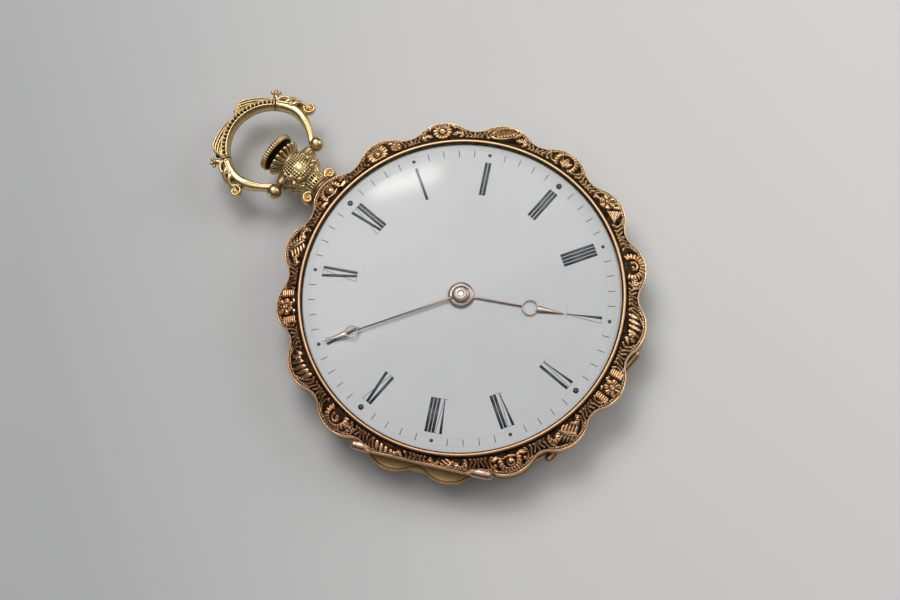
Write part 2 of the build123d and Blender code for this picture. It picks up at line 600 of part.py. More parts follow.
def jewelled(shape, at, top, bottom):
    """Sinks a jewel seat into the train side of a bar, and an oil hole behind it."""
    return shape - disc(JEWEL_R, top - 0.3, top + 1, at) - disc(0.3, bottom - 1, top, at)


def make_barrel_bridge():
    shape = disc(5.2, BAR_LOW, BAR_HIGH, BARREL_AT)
    for foot in BARREL_FEET:
        shape += slab(2.4, BAR_LOW, BAR_HIGH, BARREL_AT, foot)
        shape += disc(1.3, BAR_LOW, PLATE_LOW, foot)
        shape -= disc(SCREW_R, 0, 9, foot)
    shape -= disc(0.73, 0, 9, BARREL_AT)
    for at in (CLICK_AT, CLICK_SPRING_AT):
        shape -= disc(CLICK_SCREW_R, 0, BAR_HIGH - 0.1, at)
    return shape


def make_centre_bar():
    return bar(2.8, CENTRE, CENTRE_FOOT, 1.4, 2.0) - disc(0.48, 0, 9)


def make_third_bar():
    return jewelled(bar(2.0, THIRD_AT, THIRD_FOOT, 1.3, 1.2), THIRD_AT, BAR_HIGH, BAR_LOW)


def make_fourth_bar():
    return jewelled(bar(1.8, FOURTH_AT, FOURTH_FOOT, 1.2, 0.95), FOURTH_AT, BAR_HIGH, BAR_LOW)


def make_escape_cock():
    low, high = ESCAPE_COCK_LOW, ESCAPE_COCK_HIGH
    cock = slab(1.6, low, high, ESCAPE_AT, ESCAPE_FOOT) + disc(1.1, low, PLATE_LOW, ESCAPE_FOOT)
    return cock - disc(SCREW_R, 0, 9, ESCAPE_FOOT) - disc(0.4, 0, 9, ESCAPE_AT)


def make_balance_cock():
    cock = slab(2.4, COCK_LOW, COCK_HIGH, BALANCE_AT, BALANCE_FOOT)
    cock += disc(1.9, COCK_LOW, COCK_HIGH, BALANCE_AT) + disc(1.6, COCK_LOW, PLATE_LOW, BALANCE_FOOT)
    cock -= disc(SCREW_HEAD_R + GAP, 0, COCK_LOW + 0.15, BALANCE_FOOT)
    return cock - disc(SCREW_R, 0, 9, BALANCE_FOOT) - disc(JEWEL_R, 0, 9, BALANCE_AT)


SCREW_SEATS = [(at, BAR_LOW) for at in (*BARREL_FEET, CENTRE_FOOT, THIRD_FOOT, FOURTH_FOOT)]
SCREW_SEATS += [(ESCAPE_FOOT, ESCAPE_COCK_LOW), (BALANCE_FOOT, COCK_LOW + 0.15)]
SCREW_PLACES = [at for at, seat in SCREW_SEATS]


def screw(at, seat, slot_turn=0.0):
    """A slotted screw whose head bears on a face at height seat."""
    shape = disc(SCREW_R, seat, SCREW_END, at) + disc(SCREW_HEAD_R, seat - SCREW_HEAD, seat, at)
    slot = Pos(at[0], at[1], seat - SCREW_HEAD) * Rot(Z=slot_turn) * Box(2, 0.18, 0.2)
    return shape - slot


def make_bridge_screws():
    return [screw(at, seat, 37.0 * k) for k, (at, seat) in enumerate(SCREW_SEATS)]


def make_case_screws():
    return [screw(at, PLATE_LOW, 25.0 * k) for k, at in enumerate(CASE_SCREWS_AT)]


def make_train_jewels():
    top = PLATE_LOW + 0.35
    places = [(at, JEWEL_R, PLATE_LOW, top) for at in (THIRD_AT, FOURTH_AT, ESCAPE_AT, BALANCE_AT)]
    places += [(at, JEWEL_R, BAR_HIGH - 0.3, BAR_HIGH) for at in (THIRD_AT, FOURTH_AT)]
    places += [(ESCAPE_AT, 0.4, ESCAPE_COCK_LOW, ESCAPE_COCK_HIGH)]
    places += [(BALANCE_AT, JEWEL_R, COCK_LOW, COCK_HIGH)]
    return [ring(outer, PIVOT_HOLE_R, low, high, at) for at, outer, low, high in places]


# ---------------------------------------------------------------- barrel and winding
CLICK_SPRING_AT = polar(4.3, CLICK_TURN + 75, BARREL_AT)


def make_barrel():
    """The toothed drum that holds the mainspring, open towards its cover."""
    phase = bearing(BARREL_AT, CENTRE)
    drum = disc(7.3, 3.05, 4.45, BARREL_AT)
    drum += raised(wheel_face(BARREL_TEETH, BARREL_MODULE, phase), 4.0, 4.35, BARREL_AT)
    return drum - disc(6.9, 0, 4.25, BARREL_AT) - disc(BARREL_HOLE_R, 0, 9, BARREL_AT)


def make_barrel_cover():
    return ring(6.9, 0.73, 3.05, 3.25, BARREL_AT)


def make_mainspring():
    strip = coil_face(start_r=2.0, pitch=0.42, half_turns=23, thick=0.16)
    return raised(strip, 3.32, 4.18, BARREL_AT)


def make_barrel_arbor():
    arbor = square_rod(WINDING_SQUARE, 0.95, BAR_LOW, BARREL_AT) + disc(0.7, BAR_LOW, 3.27, BARREL_AT)
    return arbor + disc(1.6, 3.27, 4.22, BARREL_AT) + disc(0.6, 4.22, 5.05, BARREL_AT)


def make_ratchet_wheel():
    pitch = 360 / RATCHET_TEETH
    points = []
    for k in range(RATCHET_TEETH):
        points += [polar(RATCHET_R - 0.3, k * pitch), polar(RATCHET_R, k * pitch + 1)]
    wheel = raised(polygon(points), BAR_LOW - 0.32, BAR_LOW - 0.03, BARREL_AT)
    return wheel - square_rod(WINDING_SQUARE, 0, 9, BARREL_AT)


def make_click():
    """The pawl that holds the ratchet, lifted just clear of its teeth."""
    low, high = BAR_LOW - 0.32, BAR_LOW - 0.03
    beak = polar(RATCHET_R + 0.08, CLICK_TURN - 28, BARREL_AT)
    heel = polar(RATCHET_R + 0.75, CLICK_TURN - 26, BARREL_AT)
    waist = polar(RATCHET_R + 0.85, CLICK_TURN - 8, BARREL_AT)
    arm = raised(polygon([beak, heel, CLICK_AT, waist]), low, high)
    return arm + disc(0.7, low, high, CLICK_AT) - disc(CLICK_SCREW_R + RUN, 0, 9, CLICK_AT)


def make_click_screws():
    low = BAR_LOW - 0.34
    places = [CLICK_AT, CLICK_SPRING_AT]
    return [disc(CLICK_SCREW_R, low, BAR_HIGH - 0.15, at) + disc(0.4, low - 0.12, low, at) for at in places]


def make_click_spring():
    """A flat curved spring from its own screw to the outside of the click."""
    low, high = BAR_LOW - 0.28, BAR_LOW - 0.05
    strip = ring(5.16, 5.04, low, high, BARREL_AT)
    wedge = sector(CLICK_TURN + 2, CLICK_TURN + 75, 0, 9, 8)
    spring = strip & (Pos(BARREL_AT[0], BARREL_AT[1], 0) * wedge)
    end = polar(5.1, CLICK_TURN + 74, BARREL_AT)
    spring += slab(0.7, low, high, CLICK_SPRING_AT, end) & disc(5.16, 0, 9, BARREL_AT)
    return spring - disc(CLICK_SCREW_R, 0, 9, CLICK_SPRING_AT)


# ---------------------------------------------------------------- going train
def arbor(at, low, high):
    """A wheel arbor with a fine pivot at each end."""
    return disc(ARBOR_R, low, high, at) + disc(PIVOT_R, low - 0.28, high + 0.3, at)


def make_centre_wheel():
    wheel = raised(
        crossed(wheel_face(CENTRE_TEETH, CENTRE_MODULE, bearing(CENTRE, THIRD_AT)), 1.3, 4.1, 4, 0.6, 45),
        2.65, 2.85,
    )
    leaves = pinion_face(CENTRE_LEAVES, BARREL_MODULE, bearing(CENTRE, BARREL_AT) + 180 / CENTRE_LEAVES)
    wheel += raised(leaves, 3.85, 4.5) + disc(0.45, BAR_LOW + 0.1, PLATE_HIGH)
    wheel += disc(0.7, 2.55, 3.0)
    return wheel - disc(CENTRE_BORE_R, 0, 9)


def make_third_wheel():
    face = wheel_face(THIRD_TEETH, THIRD_MODULE, bearing(THIRD_AT, FOURTH_AT))
    wheel = raised(crossed(face, 0.8, 3.55, 4, 0.5, 20), 3.1, 3.3, THIRD_AT)
    phase = bearing(THIRD_AT, CENTRE) + 180 / THIRD_LEAVES
    leaves = raised(pinion_face(THIRD_LEAVES, CENTRE_MODULE, phase), 2.6, 3.1, THIRD_AT)
    return wheel + leaves + arbor(THIRD_AT, 2.55, 4.55)


def make_fourth_wheel():
    face = wheel_face(FOURTH_TEETH, FOURTH_MODULE, bearing(FOURTH_AT, ESCAPE_AT))
    wheel = raised(crossed(face, 0.8, 3.3, 4, 0.5, 10), 3.6, 3.8, FOURTH_AT)
    phase = bearing(FOURTH_AT, THIRD_AT) + 180 / FOURTH_LEAVES
    leaves = raised(pinion_face(FOURTH_LEAVES, THIRD_MODULE, phase), 3.0, 3.6, FOURTH_AT)
    return wheel + leaves + arbor(FOURTH_AT, 2.55, 4.55)


def make_escape_wheel():
    """A cylinder escape wheel: fifteen wedge teeth, each on its own stalk."""
    middle = bearing(ESCAPE_AT, BALANCE_AT)
    pitch = 360 / ESCAPE_TEETH
    face = Circle(2.5) - (Circle(2.1) - Circle(0.7))
    for k in range(3):
        face += Rot(Z=120 * k) * Pos(1.3, 0) * Rectangle(2.0, 0.35)
    for k in range(ESCAPE_TEETH):
        stalk = Pos(2.8, 0) * Rectangle(0.8, 0.16)
        tooth = polygon([(3.15, -0.26), (3.42, 0.26), (3.22, 0.3), (3.08, -0.2)])
        face += Rot(Z=middle + pitch * (k + 0.5)) * (stalk + tooth)
    wheel = raised(face, 3.1, 3.3, ESCAPE_AT)
    phase = bearing(ESCAPE_AT, FOURTH_AT) + 180 / ESCAPE_LEAVES
    leaves = raised(pinion_face(ESCAPE_LEAVES, FOURTH_MODULE, phase), 3.5, 3.95, ESCAPE_AT)
    return wheel + leaves + disc(ARBOR_R, 2.9, 4.55, ESCAPE_AT) + disc(PIVOT_R, 2.62, 4.85, ESCAPE_AT)


# ---------------------------------------------------------------- balance
COCK_BEARING = bearing(BALANCE_AT, BALANCE_FOOT)


def make_balance_wheel():
    face = Circle(BALANCE_R) - Circle(BALANCE_R - 0.6)
    for k in range(3):
        face += Rot(Z=120 * k + 15) * Pos(BALANCE_R / 2 - 0.2, 0) * Rectangle(BALANCE_R - 0.2, 0.55)
    rim = raised(Circle(BALANCE_R) - Circle(BALANCE_R - 0.6), BALANCE_LOW, BALANCE_HIGH, BALANCE_AT)
    wheel = rim + raised(face + Circle(0.85), BALANCE_LOW + 0.08, BALANCE_HIGH - 0.1, BALANCE_AT)
    return wheel - disc(0.3, 0, 9, BALANCE_AT)


def make_balance_staff():
    """The steel cylinder: half cut away where the escape wheel's teeth pass."""
    staff = disc(0.3, 1.85, 2.5, BALANCE_AT) + disc(CYLINDER_R, 2.5, 4.55, BALANCE_AT)
    turn = bearing(BALANCE_AT, ESCAPE_AT)
    open_half = Pos(BALANCE_AT[0], BALANCE_AT[1], 3.2) * Rot(Z=turn) * Pos(0.5, 0) * Box(1, 2, 0.44)
    staff -= open_half + disc(CYLINDER_R - 0.09, 2.98, 3.42, BALANCE_AT)
    return staff + disc(0.1, 1.5, 1.85, BALANCE_AT) + disc(0.1, 4.55, 4.9, BALANCE_AT)


def make_hairspring():
    strip = coil_face(start_r=0.72, pitch=0.28, half_turns=14, thick=0.06)
    return raised(Rot(Z=COCK_BEARING) * strip, HAIRSPRING_LOW, HAIRSPRING_HIGH, BALANCE_AT)


def make_hairspring_collet():
    return ring(0.68, 0.3, 1.86, 2.06, BALANCE_AT)


def make_hairspring_stud():
    at = polar(3.1, COCK_BEARING, BALANCE_AT)
    return disc(0.3, COCK_HIGH, HAIRSPRING_HIGH, at)


def make_regulator():
    """The index that lengthens or shortens the working hairspring, with its curb pin."""
    low, high = REGULATOR_LOW, REGULATOR_HIGH
    tail = polar(4.6, COCK_BEARING + 180, BALANCE_AT)
    curb = polar(2.95, COCK_BEARING + 65, BALANCE_AT)
    lever = slab(0.5, low, high, BALANCE_AT, tail) + slab(0.5, low, high, BALANCE_AT, curb)
    lever += disc(1.5, low, high, BALANCE_AT) + disc(0.1, high, HAIRSPRING_HIGH, curb)
    return lever - disc(0.85, 0, high, BALANCE_AT)


def make_cap_jewel():
    return disc(0.8, REGULATOR_LOW, COCK_LOW, BALANCE_AT)


# ---------------------------------------------------------------- output
MAKERS = [
    make_case_band, make_bezel, make_crystal, make_back_cover, make_cuvette,
    make_bezel_hinge_pin, make_back_hinge_pin, make_lock_spring, make_lock_spring_screw,
    make_pendant, make_push_button, make_button_stem, make_bow, make_bow_screws,
    make_dial, make_dial_feet, make_hour_hand, make_minute_hand,
    make_cannon_pinion, make_minute_wheel, make_hour_wheel, make_set_hands_arbor,
    make_main_plate, make_barrel_bridge, make_centre_bar, make_third_bar, make_fourth_bar,
    make_escape_cock, make_balance_cock, make_bridge_screws, make_case_screws, make_train_jewels,
    make_barrel, make_barrel_cover, make_mainspring, make_barrel_arbor, make_ratchet_wheel,
    make_click, make_click_screws, make_click_spring,
    make_centre_wheel, make_third_wheel, make_fourth_wheel, make_escape_wheel,
    make_balance_wheel, make_balance_staff, make_hairspring, make_hairspring_collet,
    make_hairspring_stud, make_regulator, make_cap_jewel,
]

os.makedirs("parts", exist_ok=True)
for maker in MAKERS:
    name = maker.__name__.removeprefix("make_")
    made = maker()
    solids = made if isinstance(made, list) else [made]
    shape = Compound(children=[s for part in solids for s in part.solids()])
    export_step(shape, f"parts/{name}.step")
    print(name, len(shape.solids()), round(shape.volume, 3))
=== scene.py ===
"""Looks for the scalloped-case pocket watch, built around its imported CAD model.

Shapes are worked out in millimetres and stored in metres, with +Z to the dial's front.
"""

import json
import bpy
import numpy as np
from math import acos, cos, hypot, pi, radians, sin, sqrt
from mathutils import Matrix, Vector


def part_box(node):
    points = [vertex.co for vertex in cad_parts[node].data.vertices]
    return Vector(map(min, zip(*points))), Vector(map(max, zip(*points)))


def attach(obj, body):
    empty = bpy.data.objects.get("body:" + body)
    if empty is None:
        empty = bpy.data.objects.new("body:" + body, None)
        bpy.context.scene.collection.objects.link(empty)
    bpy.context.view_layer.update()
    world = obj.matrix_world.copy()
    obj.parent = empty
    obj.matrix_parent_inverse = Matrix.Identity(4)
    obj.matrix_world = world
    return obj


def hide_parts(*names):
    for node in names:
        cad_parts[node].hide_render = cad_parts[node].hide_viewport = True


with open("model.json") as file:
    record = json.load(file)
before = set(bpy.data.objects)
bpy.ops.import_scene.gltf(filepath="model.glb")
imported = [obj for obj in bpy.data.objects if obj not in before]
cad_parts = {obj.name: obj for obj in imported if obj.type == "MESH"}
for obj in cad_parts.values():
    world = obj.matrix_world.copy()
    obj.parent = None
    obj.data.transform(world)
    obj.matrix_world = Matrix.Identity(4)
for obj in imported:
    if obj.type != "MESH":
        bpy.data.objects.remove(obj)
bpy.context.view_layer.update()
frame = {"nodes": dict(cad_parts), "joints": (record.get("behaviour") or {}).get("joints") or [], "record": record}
MM = 0.001


# ---- places read from the frame
def box_mm(node):
    """The lowest and the highest corner of a CAD node in millimetres."""
    return [[value / MM for value in corner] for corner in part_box(node)]


def joint_mm(name):
    """A point on a joint's axis in millimetres."""
    joint, = (joint for joint in frame["joints"] if joint["name"] == name)
    return [value / MM for value in joint["pos_m"]]


Y, Z = 1, 2
DIAL_TOP = box_mm("dial")[1][Z]
BEZEL_BOTTOM = box_mm("bezel")[0][Z]
PENDANT_Z = sum(corner[Z] for corner in box_mm("pendant")) / 2
PIVOT_Y = joint_mm("bow_hinge")[Y]
HINGE_Z = joint_mm("bezel_hinge")[Z]
HINGE_REACH = hypot(*joint_mm("bezel_hinge")[:2])

# ---- the case outline, as in the CAD
LOBES = 17
LOBE_PITCH = 360 / LOBES
LOBE_DRIFT, DRIFT_FROM = 2.1, 51.4      # degrees: how unevenly the scallops are spaced
DIAL_TURN = 1.2                         # the dial stands this far clockwise of the pendant
TIP_R, VALLEY_R, LOBE_R = 23.5, 22.2, 4.2
BEZEL_HINGE_CLOCK = 11.5 * LOBE_PITCH


# ---- mesh helpers
def make_mesh(name, verts, faces, material, values=None):
    """A mesh object from points in millimetres. values is an optional darkness for each point, of tarnish and
    painted shade.
    """
    mesh = bpy.data.meshes.new(name)
    places = (np.asarray(verts, float) * MM).tolist()
    mesh.from_pydata(places, [], [tuple(int(i) for i in face) for face in faces])
    mesh.update()
    mesh.polygons.foreach_set("use_smooth", [True] * len(mesh.polygons))
    if values is not None:
        layer = mesh.attributes.new("patina_and_shade", "FLOAT", "POINT")
        layer.data.foreach_set("value", np.asarray(values, np.float32))
    mesh.materials.append(material)
    piece = bpy.data.objects.new(name, mesh)
    bpy.context.scene.collection.objects.link(piece)
    return piece


def grid_faces(rows, columns, close_rows=True):
    """Quads over a grid of points stored row by row, closed along its columns."""
    r = np.arange(rows if close_rows else rows - 1)[:, None]
    c = np.arange(columns)[None, :]
    here, there = r * columns, ((r + 1) % rows) * columns
    after = (c + 1) % columns
    return np.stack([here + c, here + after, there + after, there + c], -1).reshape(-1, 4)


def around(count):
    """Angles of a full turn in equal steps."""
    return np.arange(count) * 2 * pi / count


def xyz(x, y, z):
    """Points from their coordinates, any of which may be one value for all."""
    return np.stack(np.broadcast_arrays(x, y, z), -1)


def smoothstep(t):
    t = np.clip(t, 0, 1)
    return t * t * (3 - 2 * t)


def rising(value, start, width):
    """0 up to start, 1 from width beyond it."""
    return smoothstep((value - start) / width)


def falling(value, end, width):
    """1 up to width before end, 0 from there."""
    return smoothstep((end - value) / width)


def ridge(distance, half_width):
    """A round ridge: 1 on its line, 0 from half_width outwards."""
    t = np.clip(distance / half_width, 0, 1)
    return np.sqrt(np.clip(1 - t * t, 0, 1))


def turned(clock, out, across=0.0):
    """The point out along a clock direction in degrees and across it, clockwise."""
    turn = radians(clock)
    return out * sin(turn) + across * cos(turn), out * cos(turn) - across * sin(turn)


# ---- materials
class Nodes:
    """A node tree with short ways to add to it. Node kinds go without their ShaderNode."""

    def __init__(self, tree):
        self.tree = tree

    def add(self, kind, **settings):
        node = self.tree.nodes.new("ShaderNode" + kind)
        for name, value in settings.items():
            setattr(node, name, value)
        return node

    def put(self, value, socket):
        """A link from a socket, or a constant."""
        if isinstance(value, bpy.types.NodeSocket):
            self.tree.links.new(value, socket)
        else:
            socket.default_value = (*value, 1) if isinstance(value, tuple) else value

    def axis(self, name, kind="Object"):
        """One coordinate of each point."""
        split = self.add("SeparateXYZ")
        self.put(self.add("TexCoord").outputs[kind], split.inputs[0])
        return split.outputs[name]

    def noise(self, scale, detail=4.0, rough=0.55):
        node = self.add("TexNoise")
        self.put(self.add("TexCoord").outputs["Object"], node.inputs["Vector"])
        for name, value in (("Scale", scale), ("Detail", detail), ("Roughness", rough)):
            self.put(value, node.inputs[name])
        return node.outputs["Fac"]

    def ramp(self, source, *stops):
        """Colours or single values at places from 0 to 1."""
        node = self.add("ValToRGB")
        elements = node.color_ramp.elements
        while len(elements) < len(stops):
            elements.new(0.5)
        for element, (at, colour) in zip(elements, stops):
            element.position = at
            element.color = (*colour, 1) if isinstance(colour, tuple) else (colour,) * 3 + (1,)
        self.put(source, node.inputs["Fac"])
        return node.outputs["Color"]

    def mix(self, factor, a, b):
        node = self.add("Mix", data_type="RGBA")
        for value, socket in ((factor, "Factor"), (a, 6), (b, 7)):
            self.put(value, node.inputs[socket])
        return node.outputs[2]

    def math(self, operation, *values):
        node = self.add("Math", operation=operation, use_clamp=True)
        for value, socket in zip(values, node.inputs):
            self.put(value, socket)
        return node.outputs[0]


class Finish(Nodes):
    """A new material, with the constant values of its shader."""

    def __init__(self, name, values):
        self.material = bpy.data.materials.new(name)
        self.material.use_nodes = True
        super().__init__(self.material.node_tree)
        self.shader = self.tree.nodes["Principled BSDF"]
        for socket, value in values.items():
            self.put(value, self.shader.inputs[socket])

    def shade(self, socket, source, *stops):
        """Drive a socket of the shader, by way of a ramp where stops are given."""
        self.put(self.ramp(source, *stops) if stops else source, self.shader.inputs[socket])

    def bump(self, source, strength, distance):
        node = self.add("Bump")
        for value, socket in ((strength, "Strength"), (distance, "Distance"), (source, "Height")):
            self.put(value, node.inputs[socket])
        self.shade("Normal", node.outputs["Normal"])


def gold(name, light, mid, dark, patina_and_shade=False, rough=(0.22, 0.42), side=None):
    """Worn antique gold: colour drifts, wear scratches it, and its recesses darken with tarnish and painted shade.

    side is a second mid colour that takes over towards +X: painted light, the side that faces the lamps lighter
    and yellower.
    """
    new = Finish(name, {"Metallic": 1.0})
    base = new.ramp(new.noise(260, 5), (0.3, mid), (0.7, light))
    # Painted light: towards +X, the side facing the lamps, the colour turns lighter and yellower.
    if side is not None:
        base = new.mix(new.math("MULTIPLY_ADD", new.axis("X"), 22.0, 0.42), base, side)
    # The dark mask comes from the mesh's own values, or else from where the surface is concave: tarnish in the
    # hollows and painted shade under and between raised parts.
    if patina_and_shade:
        hollow = new.add("Attribute", attribute_name="patina_and_shade").outputs["Fac"]
    else:
        pointed = new.add("NewGeometry").outputs["Pointiness"]
        hollow = new.math("SUBTRACT", 1.0, new.ramp(pointed, (0.44, 0.0), (0.51, 1.0)))
    speck = new.ramp(new.noise(1400, 3), (0.35, 0.93), (0.7, 1.0))
    tarnish_and_shade = new.math("MULTIPLY", hollow, speck)
    new.shade("Base Color", new.mix(tarnish_and_shade, base, dark))
    wear = new.noise(900, 6, 0.7)
    worn = new.ramp(wear, (0.3, rough[0]), (0.72, rough[1]))
    new.shade("Roughness", new.mix(tarnish_and_shade, worn, (0.75, 0.75, 0.75)))
    new.bump(wear, 0.12, 0.00004)
    return new.material


def plain_metal(name, low, high, rough, scale=700, strength=0.08):
    """Metal with a fine grain and a slow change of tone."""
    new = Finish(name, {"Metallic": 1.0})
    new.shade("Base Color", new.noise(300, 4), (0.3, low), (0.7, high))
    wear = new.noise(scale, 5, 0.6)
    new.shade("Roughness", wear, (0.3, rough[0]), (0.7, rough[1]))
    new.bump(wear, strength, 0.00003)
    return new.material


def enamel_material():
    """White fired enamel: smooth, faintly cool, with the softest mottling."""
    new = Finish("white_enamel", {"Specular IOR Level": 0.12})
    new.shade("Base Color", new.noise(120, 3), (0.3, (0.61, 0.612, 0.62)),
              (0.75, (0.64, 0.642, 0.65)))
    new.shade("Roughness", new.noise(500, 3), (0.3, 0.16), (0.7, 0.22))
    new.bump(new.noise(160, 2), 0.03, 0.00005)
    return new.material


def paint_material():
    new = Finish("numeral_enamel", {})
    new.shade("Base Color", new.noise(900, 4), (0.25, (0.020, 0.026, 0.035)),
              (0.8, (0.052, 0.064, 0.080)))
    new.shade("Roughness", new.noise(700, 3), (0.3, 0.3), (0.7, 0.45))
    return new.material


def glass_material():
    """Clear glass that lets the lamps through to the dial, with a faint reflection."""
    new = Finish("crystal_glass", {
        "Transmission Weight": 1.0, "IOR": 1.02, "Coat Weight": 1.0, "Coat IOR": 1.14,
        "Coat Roughness": 0.095, "Base Color": (0.985, 0.99, 0.99)})
    new.shade("Roughness", new.noise(400, 3), (0.4, 0.012), (0.8, 0.03))
    path = new.add("LightPath").outputs
    either = new.add("MixShader")
    straight = new.math("MAXIMUM", path["Is Shadow Ray"], path["Is Diffuse Ray"])
    sources = straight, new.shader.outputs["BSDF"], new.add("BsdfTransparent").outputs["BSDF"]
    for source, socket in zip(sources, either.inputs):
        new.put(source, socket)
    output = new.tree.nodes["Material Output"]
    new.put(either.outputs["Shader"], output.inputs["Surface"])
    return new.material


def ruby_material():
    new = Finish("ruby", {"Roughness": 0.08, "Coat Weight": 0.6})
    new.shade("Base Color", new.noise(900, 3), (0.3, (0.42, 0.01, 0.05)),
              (0.7, (0.62, 0.03, 0.12)))
    return new.material


# The rose gold's side colour paints light on its +X side.
ROSE = gold("antique_rose_gold", (0.92, 0.58, 0.36), (0.78, 0.44, 0.23), (0.012, 0.005, 0.002),
            True, (0.16, 0.32), side=(1.0, 0.70, 0.40))
BOW_GOLD = gold("pale_antique_gold", (0.80, 0.62, 0.34), (0.64, 0.47, 0.23),
                (0.022, 0.012, 0.004), True, (0.24, 0.40))
PLAIN_BOW_GOLD = gold("pale_plain_gold", (0.76, 0.61, 0.35), (0.62, 0.48, 0.24),
                      (0.10, 0.06, 0.02))
# A darker copy of the case's gold, on the case body, back and hinge tube: painted shade.
SHADED_CASE_GOLD = gold("case_gold", (0.50, 0.35, 0.18), (0.38, 0.26, 0.12), (0.06, 0.03, 0.012),
                 rough=(0.28, 0.46))
CHASED_GOLD = gold("chased_case_gold", (0.80, 0.53, 0.25), (0.70, 0.42, 0.18),
                   (0.06, 0.03, 0.012), True)
IVORY_STEEL = plain_metal("rose_grey_gold", (0.27, 0.215, 0.18), (0.38, 0.31, 0.265), (0.28, 0.42))
PINK_GOLD = plain_metal("pinkish_gold", (0.52, 0.34, 0.27), (0.66, 0.46, 0.38), (0.28, 0.44))
GILT = plain_metal("frosted_gilt", (0.72, 0.53, 0.24), (0.82, 0.62, 0.30), (0.38, 0.52), 2600,
                   strength=0.25)
BRASS = plain_metal("wheel_brass", (0.66, 0.48, 0.20), (0.80, 0.60, 0.28), (0.18, 0.30), 1500)
STEEL = plain_metal("polished_steel", (0.52, 0.53, 0.55), (0.66, 0.67, 0.69), (0.14, 0.28))
BLUED = plain_metal("blued_steel", (0.015, 0.03, 0.12), (0.03, 0.07, 0.26), (0.16, 0.30))
ENAMEL, PAINT, GLASS, RUBY = enamel_material(), paint_material(), glass_material(), ruby_material()
SLOT_MATERIALS = {
    "case_gold": SHADED_CASE_GOLD, "bow_gold": PLAIN_BOW_GOLD, "gilt_brass": GILT, "wheel_brass": BRASS,
    "hand_gold": IVORY_STEEL, "polished_steel": STEEL, "blued_steel": BLUED, "ruby": RUBY,
    "white_enamel": ENAMEL, "crystal_glass": GLASS,
}


def finish_cad_nodes():
    """Every carried-over node gets the procedural finish of its material slot."""
    for part in frame["record"]["subparts"]:
        data = frame["nodes"][part["node"]].data
        data.materials.clear()
        data.materials.append(SLOT_MATERIALS[part["material_slot"]])
    for node in ("bezel_hinge_pin", "back_hinge_pin"):
        frame["nodes"][node].data.materials[0] = PINK_GOLD


# ---- the scalloped outline
def lobe_clocks():
    """The clock directions of the scallops' tips, and of the first one again a turn later."""
    even = np.arange(LOBES + 1) * LOBE_PITCH
    return even + LOBE_DRIFT * (np.sin(np.radians(even - DRIFT_FROM)) + sin(radians(DRIFT_FROM)))


def from_lobe(clock):
    """Each direction's scallop, its turn from that scallop's tip, and half the way to the next."""
    clock = np.asarray(clock, float) % 360
    tips = lobe_clocks()
    before = np.clip(np.searchsorted(tips, clock, side="right") - 1, 0, LOBES - 1)
    half = (tips[before + 1] - tips[before]) / 2
    turn = clock - tips[before]
    after = turn > half
    return np.where(after, before + 1, before) % LOBES, np.where(after, turn - 2 * half, turn), half


def scallop_reach(clock, inset=0.0):
    """Distance from the centre to the scalloped outline in each clock direction, in degrees."""
    tip, valley, lobe = TIP_R - inset, VALLEY_R - inset, LOBE_R - inset
    _, turn, half = from_lobe(clock)
    turn, half = np.radians(np.abs(turn)), np.radians(half)
    reach = tip - lobe
    hollow = (reach**2 + valley**2 - 2 * reach * valley * np.cos(half) - lobe**2) / (
        2 * (lobe - valley + reach * np.cos(half)))
    share = lobe / (lobe + hollow)
    meet_x = reach + ((valley + hollow) * np.cos(half) - reach) * share
    meet_y = (valley + hollow) * np.sin(half) * share
    switch = np.arctan2(meet_y, meet_x)
    round_part = reach * np.cos(turn) + np.sqrt(np.clip(lobe**2 - (reach * np.sin(turn)) ** 2, 0, None))
    back = half - turn
    far = valley + hollow
    hollow_part = far * np.cos(back) - np.sqrt(np.clip(hollow**2 - (far * np.sin(back)) ** 2, 0, None))
    return np.where(turn <= switch, round_part, hollow_part)


def chord_reach(clock, hinge_clock, reach):
    """Distance to a straight cut across the outline at a hinge."""
    turn = np.radians((np.asarray(clock, float) - hinge_clock + 180) % 360 - 180)
    return np.where(np.abs(turn) < radians(60), reach / np.maximum(np.cos(turn), 0.4), 99.0)


